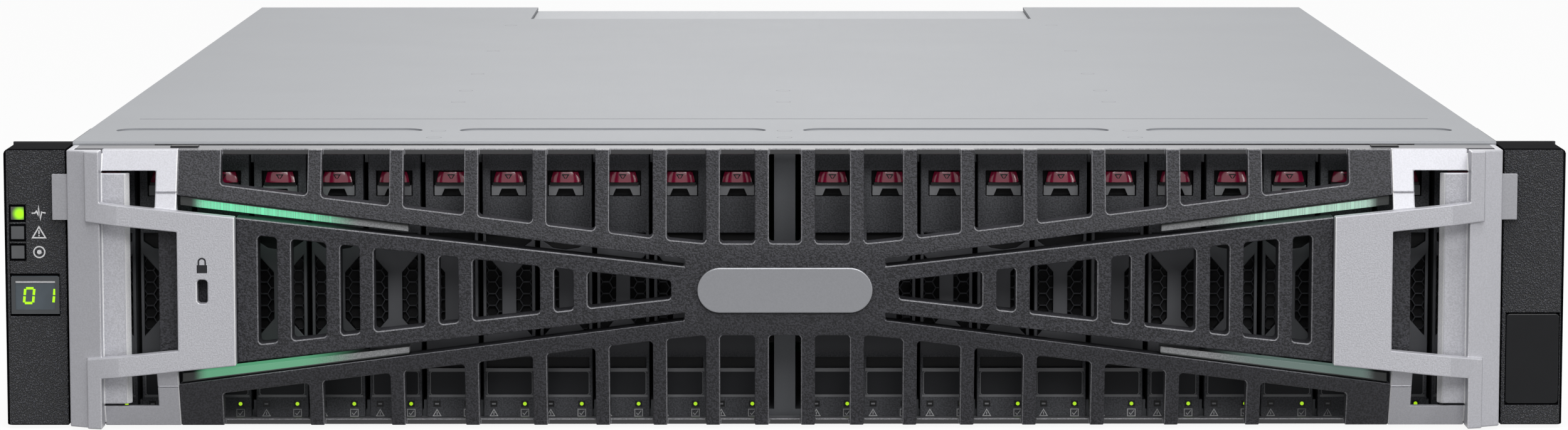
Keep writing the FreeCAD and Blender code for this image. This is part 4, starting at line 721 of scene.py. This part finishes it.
def light_bar(name, ribbed, left, right):
    """Lit by distance from the middle: dark grey at the outer end, then bright, then falling to light grey.

    A dark margin runs along the edge beside the beam. Fine ribs across the bar break the light into thin
    lines, a few of them brighter. Left and right are the colours of the light in the two halves.
    """
    made, shader, net, place = new_finish(name)
    across = net.node("SeparateXYZ", {}, {"Vector": place}, "X")
    rise = abs(net.node("SeparateXYZ", {}, {"Vector": place}, "Z") - middle_z)
    out = abs(across)
    margin = 1 - (inner_rise + pipe_slope * (out - inner_out) - rise).between(*MARGIN)
    end = net.math("MAXIMUM", margin, out.between(*LIT_TO))
    lit = out.between(*LIT_FROM) * (1 - end)
    if ribbed:
        ribs = net.node("CombineXYZ", {}, {"X": across})
        fine = noise(net, ribs, 0.35 * MM, 0.0)
        bold = noise(net, ribs, 1.6 * MM, 1.0)
        lit = lit * (0.55 + 0.4 * fine.between(0.35, 0.65) + 0.55 * bold.between(0.58, 0.66))
    frost = noise(net, place, 0.4 * MM, 2.0)
    bare = frost.widened().mixed(srgb(140, 141, 143), srgb(176, 177, 179))
    half = across.between(*HALVES).mixed(left, right)
    net.fill(shader, {
        "Base Color": net.math("MAXIMUM", end, lit).mixed(bare, BAR_DARK),
        "Roughness": 0.4,
        "Emission Color": lit.mixed(UNLIT, half),
        "Emission Strength": 1.0,
        "Normal": raised(net, frost, 0.05 * MM),
    })
    return made


def pipe_rule(centres, normals, numbers):
    """The ribbed finish above the mid-line, the smooth one below."""
    return np.where(centres[:, Z] > middle_z, 0, 1)


RIBBED = light_bar("bar_ribbed", True, PALE_GREEN, MINT)
SMOOTH = light_bar("bar_smooth", False, DIM_GREEN, DIM_MINT)
softened("light_pipes", "light_bars", BAR_ROUND, [RIBBED, SMOOTH], pipe_rule)

# Badge: a plain round-ended plate of satin aluminium with nothing on it. It is cut from sheet, its edge is
# rounded over, and it is glued to the lattice's hub.
BADGE = rolled_sheet("badge_satin", srgb(140, 141, 145), 0.35, 0.8)
BADGE_ROUND = 0.35 * MM
softened("bezel_badge", "hub_badge", BADGE_ROUND, [BADGE])

# Drives: black moulded carriers with the disk between their rails. Each face has a wine-red release button
# over a grey latch, a honeycomb grille on both sides of a forked bar, a blank label field and two lamps with
# printed signs.
FORK_LOW = (20 * MM, 24 * MM)
FORK_HIGH = (57 * MM, 60 * MM)


def carrier_plastic(name, rough_colour, smooth_colour):
    """Black plastic, grained above and below and smooth over the forked bar at mid-height."""
    made, shader, net, place = new_finish(name)
    height = net.node("SeparateXYZ", {}, {"Vector": place}, "Z")
    smooth = height.between(*FORK_LOW) * (1 - height.between(*FORK_HIGH))
    bumps = noise(net, place, 0.5 * MM, 2.0)
    grained = bumps.widened().mixed(shaded(rough_colour, 0.6), shaded(rough_colour, 1.4))
    net.fill(shader, {
        "Base Color": smooth.mixed(grained, smooth_colour),
        "Roughness": 0.5 + 0.08 * bumps,
        "Specular IOR Level": 0.25,
        "Normal": raised(net, bumps * (1 - smooth), 0.14 * MM),
    })
    return made


CARRIER = carrier_plastic("carrier_plastic", srgb(74, 75, 79), srgb(104, 105, 109))
# Painted shade: the carrier's recesses are coloured near-black for the shade inside them.
RECESS_SHADE = moulded("recess_painted_shade", srgb(16, 16, 18), 0.6, 0.5 * MM, 0.02 * MM)
DISK = rolled_sheet("disk_case", srgb(150, 151, 154), 0.4)
CARRIER_ROUND = 0.25 * MM
BUTTON_PROUD = 0.7
RECESS_FRONT, RECESS_BACK = 0.3 * MM, 4.3 * MM
DISK_FRONT, DISK_LOW, DISK_HIGH = 27.9 * MM, 8.8 * MM, 78.7 * MM
PLAIN_HALF, PLAIN_LOW, PLAIN_HIGH, PLAIN_BACK = 4.65 * MM, 75.2 * MM, 78.6 * MM, 4.01 * MM
drive_low, drive_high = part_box("drive_01")
drive_x = (drive_low.x + drive_high.x) / 2
face_y = drive_low.y + BUTTON_PROUD * MM


def carrier_rule(centres, normals, numbers):
    """Near-black painted shade in the face's recesses, metal on the disk behind it, plastic elsewhere."""
    depth, height = centres[:, Y] - face_y, centres[:, Z]
    recess = (depth > RECESS_FRONT) & (depth < RECESS_BACK)
    disk = (depth > DISK_FRONT) & (height > DISK_LOW) & (height < DISK_HIGH)
    return np.where(recess, 1, np.where(disk, 2, 0))


def plain_button(centre):
    """Picks the CAD model's flat button, in whose place the bulging one goes."""
    inside = abs(centre.x - drive_x) < PLAIN_HALF and PLAIN_LOW < centre.z < PLAIN_HIGH
    return inside and centre.y < face_y + PLAIN_BACK


first_carrier = softened("drive_01", "drive_01_carrier", CARRIER_ROUND, [CARRIER, RECESS_SHADE, DISK],
                         carrier_rule, spare=plain_button)

LATCH = polished("latch_grey", srgb(128, 129, 132), 0.35)
HONEYCOMB = moulded("grille_plastic", srgb(56, 57, 61), 0.5, 0.6 * MM, 0.02 * MM)
LABEL = polished("label_field", srgb(30, 31, 34), 0.45, shine=0.15)
HOUSING = moulded("lamp_housing", srgb(14, 14, 16), 0.4, 0.4 * MM, 0.0)
LAMP_GREEN = glow("drive_lamp_lit", srgb(165, 215, 20), srgb(80, 100, 20))
SIGN = moulded("drive_sign", srgb(196, 196, 198), 0.6, 0.4 * MM, 0.0)
BUTTON = polished("button_red", srgb(150, 18, 60), 0.16, 0.5)
LABEL_FRAME = polished("label_frame", srgb(110, 111, 114), 0.35)
FITTING_FINISHES = [LATCH, HONEYCOMB, LABEL, HOUSING, LAMP_GREEN, SIGN, BUTTON, LABEL_FRAME]


def barrel_button(low, high, wide, narrow, proud, back):
    """Level slices with a flat back and a front that bulges in the middle, all in millimetres.

    As they rise, the slices grow narrower and their fronts draw back.
    """
    slices, across = 7, np.linspace(-1, 1, 15)
    rise = np.linspace(0, 1, slices)[:, None]
    half = wide / 2 - (wide - narrow) / 2 * rise ** 1.4
    rings = np.empty((slices, len(across) + 2, 3))
    rings[:, :-2, X] = across * half
    rings[:, :-2, Y] = -proud + 1.1 * np.abs(across) ** 3 + 0.45 * rise ** 2
    rings[:, -2:, X] = half * np.array([1, -1])
    rings[:, -2:, Y] = back
    rings[:, :, Z] = low + (high - low) * rise
    return *carried(rings * MM + (drive_x, face_y, 0)), FITTING_FINISHES.index(BUTTON)


def honeycomb(columns, rows, pitch, wall, front, back):
    """Walls of hexagonal cells with level tops: each cell is a ring of rectangles between two hexagons.

    The cells' middles stand in columns, every second one half a cell higher.
    """
    x, z = np.meshgrid(columns, rows)
    z = z + (np.arange(len(columns)) % 2) * pitch / 2
    centres = np.stack([x.ravel(), 0 * x.ravel(), z.ravel()], 1)
    corner = np.radians(np.arange(0, 360, 60))
    spokes = np.stack([np.cos(corner), 0 * corner, -np.sin(corner)], 1) * (pitch / math.sqrt(3))
    shrink = 1 - wall / pitch
    section = ((1.0, front), (shrink, front), (shrink, back), (1.0, back))
    rings = np.stack([centres[:, None] + spokes * share + (0, y, 0) for share, y in section], 2)
    cell = np.array(grid_faces(len(corner), len(section), True))
    starts = np.arange(len(centres)) * len(corner) * len(section)
    faces = (cell + starts[:, None, None]).reshape(-1, 4)
    return rings.reshape(-1, 3), faces.tolist(), FITTING_FINISHES.index(HONEYCOMB)


def fitting(outline, front, back, finish):
    """A slab on a drive's face: corners in millimetres about its middle line, and depths behind the face."""
    corners = np.array(outline, float) * MM + (drive_x, 0)
    return *slab(corners, face_y + front * MM, face_y + back * MM), FITTING_FINISHES.index(finish)


def mark(path, width, depth, finish, closed=False):
    """A printed line on a drive's face, in the same millimetres."""
    path = np.array(path, float) * MM + (drive_x, 0)
    return *strip(path, width * MM, face_y + depth * MM, closed), FITTING_FINISHES.index(finish)


LATCH_BAR = [(-5.3, 71.1), (-5.3, 74.2), (5.3, 74.2), (5.3, 71.1),
             (3.1, 71.1), (2.2, 73.2), (-2.2, 73.2), (-3.1, 71.1)]
LABEL_EDGE = [(-7.0, 8.9), (-7.0, 15.3), (-6.5, 15.8), (6.5, 15.8),
              (7.0, 15.3), (7.0, 8.9), (6.5, 8.4), (-6.5, 8.4)]
ARROW = [(-0.95, 77.7), (0.95, 77.7), (0, 76.2)]
ALERT = [(-6.2, 1.75), (-5.0, 3.8), (-3.8, 1.75)]
TICK = [(4.0, 2.7), (4.5, 2.1), (5.5, 3.4)]
fittings = [
    barrel_button(75.3, 78.5, 9.2, 7.7, BUTTON_PROUD, 3.9),
    fitting(box_outline(-4.9, 4.9, 74.3, 75.2), 0.2, 3.9, HOUSING),
    fitting(LATCH_BAR, 0.9, 3.9, LATCH),
    fitting(box_outline(-7.5, 7.5, 15.8, 16.8), -0.15, 0.5, LABEL_FRAME),
    fitting(box_outline(-7.5, 7.5, 7.7, 8.4), -0.15, 0.5, LABEL_FRAME),
    fitting(LABEL_EDGE, -0.08, 0.5, LABEL),
    mark(LABEL_EDGE, 0.2, -0.12, LABEL_FRAME, True),
    fitting(box_outline(-6.1, -3.9, 4.65, 6.55), -0.1, 0.4, HOUSING),
    fitting(box_outline(3.6, 5.8, 4.65, 6.55), -0.1, 0.4, HOUSING),
    fitting(box_outline(-5.6, -4.4, 5.35, 5.85), -0.2, 0.3, LATCH),
    mark(circle(4.7, 5.6, 0.3, 12), 0.56, -0.2, LAMP_GREEN, True),
    mark(ALERT, 0.25, -0.03, SIGN, True),
    mark([(-5.0, 3.0), (-5.0, 2.1)], 0.25, -0.03, SIGN),
    mark(box_outline(3.5, 5.9, 1.65, 3.85), 0.25, -0.03, SIGN, True),
    mark(TICK, 0.25, -0.03, SIGN),
    mark(ARROW, 0.3, -0.64, HOUSING, True),
]
CELL = 3.7 * MM
CELL_WALL = 0.28 * MM
CELL_COLUMNS = np.array([2.2, 5.4]) * MM
CELL_ROWS = 29 * MM + np.arange(6) * CELL
CELL_FRONT, CELL_BACK = 1.2 * MM, 2.9 * MM
for side in (-1, 1):
    columns = drive_x + side * CELL_COLUMNS
    fittings.append(honeycomb(columns, CELL_ROWS, CELL, CELL_WALL, face_y + CELL_FRONT, face_y + CELL_BACK))
first_fittings = new_piece("drive_01_fittings", fittings, "drive_01", FITTING_FINISHES)


def moved_copy(piece, name, body, shift):
    """The piece again, moved along X within its mesh."""
    mesh = piece.data.copy()
    points = np.empty(len(mesh.vertices) * 3, np.float32)
    mesh.vertices.foreach_get("co", points)
    points[0::3] += shift
    mesh.vertices.foreach_set("co", points)
    made = bpy.data.objects.new(name, mesh)
    bpy.context.scene.collection.objects.link(made)
    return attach(made, body)


for number in range(2, 25):
    node = f"drive_{number:02d}"
    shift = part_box(node)[0].x - drive_low.x
    carrier = moved_copy(first_carrier, node + "_carrier", node, shift)
    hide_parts(node)
    moved_copy(first_fittings, node + "_fittings", node, shift)

# Controllers: two sheet cases one above the other, each with its board, plated sockets, a row of small lamps
# and two wine-red ejector levers on pins at the back.
MODULE = rolled_sheet("module_sheet", srgb(150, 152, 156), 0.55, 0.25)
PORT = rolled_sheet("port_plating", srgb(186, 187, 190), 0.28, 0.85)
LEVER = moulded("lever_red", srgb(128, 24, 58), 0.4, 0.6 * MM, 0.03 * MM)
LENS_GREEN = glow("port_lamp_lit", srgb(120, 230, 60), srgb(60, 100, 40), strength=0.8)
LENS_DARK = polished("port_lamp_dark", srgb(92, 84, 60), 0.3)
CAGES = [-78.0 + 16.4 * number for number in range(4)]
JACK_X = 10.0
WIDE_PORT_X = 44.0
LAMP_APART = 2.4
LAMPS_UP = 19.8 * MM
JACK_CORE = np.array(box_outline(JACK_X - 6.8, JACK_X + 6.8, 3.6, 15.4)) * MM
CONTACTS = [np.array(box_outline(JACK_X + x - 0.25, JACK_X + x + 0.25, 4.6, 8.6)) * MM
            for x in np.arange(-3.5, 4, 1)]
JACK_BACK, JACK_FRONT = 12 * MM, 4 * MM
CONTACT_BACK, CONTACT_FRONT = 5 * MM, 3.6 * MM
CORNER_SCREW_OUT, CORNER_SCREW_UP = 102 * MM, 5 * MM
LEVER_ROUND = 0.4 * MM
panel_y = case_high.y


def lens(x, y, z, radius=0.9 * MM):
    """A small round lamp with a domed front, standing just proud of a rear panel."""
    profile = [(radius, -0.3 * MM), (radius, 0.2 * MM), (0.6 * radius, 0.45 * MM), (0.02 * MM, 0.5 * MM)]
    return turned(profile, (x, y, z), Y, around=12)


lamp_places = [(x + side * LAMP_APART, number)
               for x in CAGES + [JACK_X] for side, number in ((-1, 0), (1, 1))]
lamp_places.append((WIDE_PORT_X, 0))
for letter in "ab":
    case = f"controller_{letter}_case"
    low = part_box(case)[0].z
    body = frame["nodes"][case]["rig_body"]
    dress(case, MODULE)
    dress(f"controller_{letter}_board", PORT)
    for side in ("left", "right"):
        node = f"controller_{letter}_{side}_lever"
        softened(node, node + "_moulding", LEVER_ROUND, [LEVER])
    lamps = [(*lens(x * MM, panel_y, low + LAMPS_UP), number) for x, number in lamp_places]
    new_piece(f"controller_{letter}_lamps", lamps, body, [LENS_GREEN, LENS_DARK])
    jack = [(*slab(JACK_CORE + (0, low), panel_y - JACK_BACK, panel_y - JACK_FRONT), 0)]
    for contact in CONTACTS:
        jack.append((*slab(contact + (0, low), panel_y - CONTACT_BACK, panel_y - CONTACT_FRONT), 1))
    new_piece(f"controller_{letter}_jack_core", jack, body, [PLUG, PORT])
    corner_screws = [screw((x, panel_y, low + CORNER_SCREW_UP), Y)
                     for x in (-CORNER_SCREW_OUT, CORNER_SCREW_OUT)]
    new_piece(f"controller_{letter}_screws", corner_screws, body, [SCREW])

# Power and cooling modules: sheet cases with a fan screwed behind a louvred grille, a black mains inlet with
# three plated pins, a black fixed handle and a wine-red release latch.
FAN = moulded("fan_plastic", srgb(28, 28, 31), 0.45, 0.8 * MM, 0.02 * MM)
HANDLE = moulded("handle_plastic", srgb(34, 34, 37), 0.5, 0.6 * MM, 0.05 * MM)
GRIP_ROUND = 0.8 * MM
INLET_IN, INLET_UP = 21 * MM, 20 * MM
INLET_DEEP, INLET_FLOOR = 18.3 * MM, 0.7 * MM
RIM_WIDE, RIM_SUNK, RIM_DEEP = 2.0 * MM, 0.1 * MM, 0.5 * MM
LINER_WALL, LINER_LONG = 0.5 * MM, 18 * MM
PIN_BACK, PIN_FRONT = 18 * MM, 4 * MM
INLET_RIM = np.array(box_outline(-12.8, 12.8, -9.3, 9.3)) * MM
INLET_LINER = np.array(box_outline(-11.6, 11.6, -8.1, 8.1)) * MM
PINS = [np.array(box_outline(x - 1, x + 1, z - 2, z + 2)) * MM for x, z in ((-7, -2), (0, 2), (7, -2))]
FAN_IN = 35 * MM
FAN_SCREW = 25.5 * MM
PSU_LAMPS = ((9 * MM, 0), (14 * MM, 1))
PSU_LAMPS_DOWN = 9 * MM
PSU_LAMP = 1.2 * MM
for side in ("left", "right"):
    case = side + "_psu_case"
    low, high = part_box(case)
    body = frame["nodes"][case]["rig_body"]
    dress(case, MODULE)
    dress(side + "_psu_fan", FAN)
    softened(side + "_psu_handle", side + "_psu_grip", GRIP_ROUND, [HANDLE])
    softened(side + "_psu_latch", side + "_psu_thumb_latch", LEVER_ROUND, [LEVER])
    middle = (low.x + INLET_IN, low.z + INLET_UP)
    inlet_back = high.y - INLET_DEEP
    inlet = [
        (*strip(INLET_RIM + middle, RIM_WIDE, high.y - RIM_SUNK, True, RIM_DEEP), 0),
        (*strip(INLET_LINER + middle, LINER_WALL, inlet_back, True, LINER_LONG), 0),
        (*slab(INLET_LINER + middle, inlet_back, inlet_back + INLET_FLOOR), 0),
    ]
    inlet += [(*slab(pin + middle, high.y - PIN_BACK, high.y - PIN_FRONT), 1) for pin in PINS]
    new_piece(side + "_psu_inlet", inlet, body, [PLUG, PORT])
    fan_x, fan_z = high.x - FAN_IN, (low.z + high.z) / 2
    fan_screws = [screw((fan_x + x, panel_y, fan_z + z), Y)
                  for x in (-FAN_SCREW, FAN_SCREW) for z in (-FAN_SCREW, FAN_SCREW)]
    new_piece(side + "_psu_screws", fan_screws, body, [SCREW])
    psu_lamps = [(*lens(low.x + x, panel_y, high.z - PSU_LAMPS_DOWN, PSU_LAMP), number)
                 for x, number in PSU_LAMPS]
    new_piece(side + "_psu_lamps", psu_lamps, body, [LENS_GREEN, LENS_DARK])

# Stage: a white floor that keeps the object's shadow, soft lamps round it and the camera in front of it, all
# outside the object. The floor is white to the camera and dark to the object, so that it throws up little.


def shown_rays(net):
    """1 for rays that the camera sees, straight or through gloss and glass."""
    kinds = ("Camera", "Glossy", "Transmission")
    straight, gloss, glass = [net.node("LightPath", {}, {}, f"Is {kind} Ray") for kind in kinds]
    return net.math("MAXIMUM", straight, net.math("MAXIMUM", gloss, glass))


FLOOR_REACH = 8.0
FLOOR_DROP = 0.2 * MM
FLOOR_DARK = (0.09, 0.09, 0.09, 1)
FLOOR_PALE = (0.95, 0.95, 0.95, 1)
FLOOR_GLOW = 0.92
WHITE = (1, 1, 1, 1)
AMBIENT = 0.2
floor_mesh = bpy.data.meshes.new("floor")
corners = np.array([(-1, -1, 0), (1, -1, 0), (1, 1, 0), (-1, 1, 0)]) * FLOOR_REACH - (0, 0, FLOOR_DROP)
floor_mesh.from_pydata(corners.tolist(), [], [(0, 1, 2, 3)])
floor = bpy.data.objects.new("floor", floor_mesh)
bpy.context.scene.collection.objects.link(floor)
floor_finish, floor_shader, net, place = new_finish("floor_white")
seen = shown_rays(net)
net.fill(floor_shader, {
    "Base Color": seen.mixed(FLOOR_DARK, FLOOR_PALE),
    "Roughness": 0.9,
    "Specular IOR Level": 0.0,
})
white = net.node("Emission", {}, {"Color": WHITE, "Strength": 1.0})
lit = Net(net.tree, floor_shader.outputs[0])
surface = net.node("MixShader", {}, {0: seen * FLOOR_GLOW, 1: lit, 2: white})
net.fill(net.tree.nodes["Material Output"], {"Surface": surface})
floor_mesh.materials.append(floor_finish)

world = bpy.data.worlds.new("studio")
world.use_nodes = True
bpy.context.scene.world = world
sky = Net(world.node_tree)
strength = AMBIENT + (1 - AMBIENT) * shown_rays(sky)
sky.fill(world.node_tree.nodes["Background"], {"Color": WHITE, "Strength": strength})


def lamp(name, place, target, size, power):
    """A soft rectangular lamp at a place, turned towards its target."""
    data = bpy.data.lights.new(name, "AREA")
    data.shape = "RECTANGLE"
    data.size, data.size_y = size
    data.energy = power
    made = bpy.data.objects.new(name, data)
    made.location = place
    aim = Vector(target) - Vector(place)
    made.rotation_euler = aim.to_track_quat("-Z", "Y").to_euler()
    bpy.context.scene.collection.objects.link(made)


lamp("top_lamp", (0.1, -0.9, 2.2), (0, -0.3, 0.05), (2.0, 1.2), 38)
lamp("front_lamp", (0.35, -2.4, 1.5), (0, -0.3, 0.05), (1.6, 0.9), 26)
lamp("right_lamp", (1.9, -1.5, 0.5), (0, -0.3, 0.04), (0.3, 1.2), 7)
lamp("rear_lamp", (0, 2.6, 1.2), (0, 0.3, 0.04), (0.8, 0.5), 8)

CAMERA_BACK = 1569.4 * MM
CAMERA_HIGH = 240.7 * MM
CAMERA_SIDE = -4.67 * MM
CAMERA_TILT = 6.437
CAMERA_TURN = 0.163
CAMERA_LENS = 115.52
CAMERA_SENSOR = 36
camera_data = bpy.data.cameras.new("camera")
camera_data.lens = CAMERA_LENS
camera_data.sensor_width = CAMERA_SENSOR
camera = bpy.data.objects.new("camera", camera_data)
camera.location = (CAMERA_SIDE, flange_y - CAMERA_BACK, CAMERA_HIGH)
camera.rotation_euler = (math.radians(90 - CAMERA_TILT), 0, math.radians(-CAMERA_TURN))
bpy.context.scene.collection.objects.link(camera)
bpy.context.scene.camera = camera
bpy.context.scene.view_settings.view_transform = "Standard"
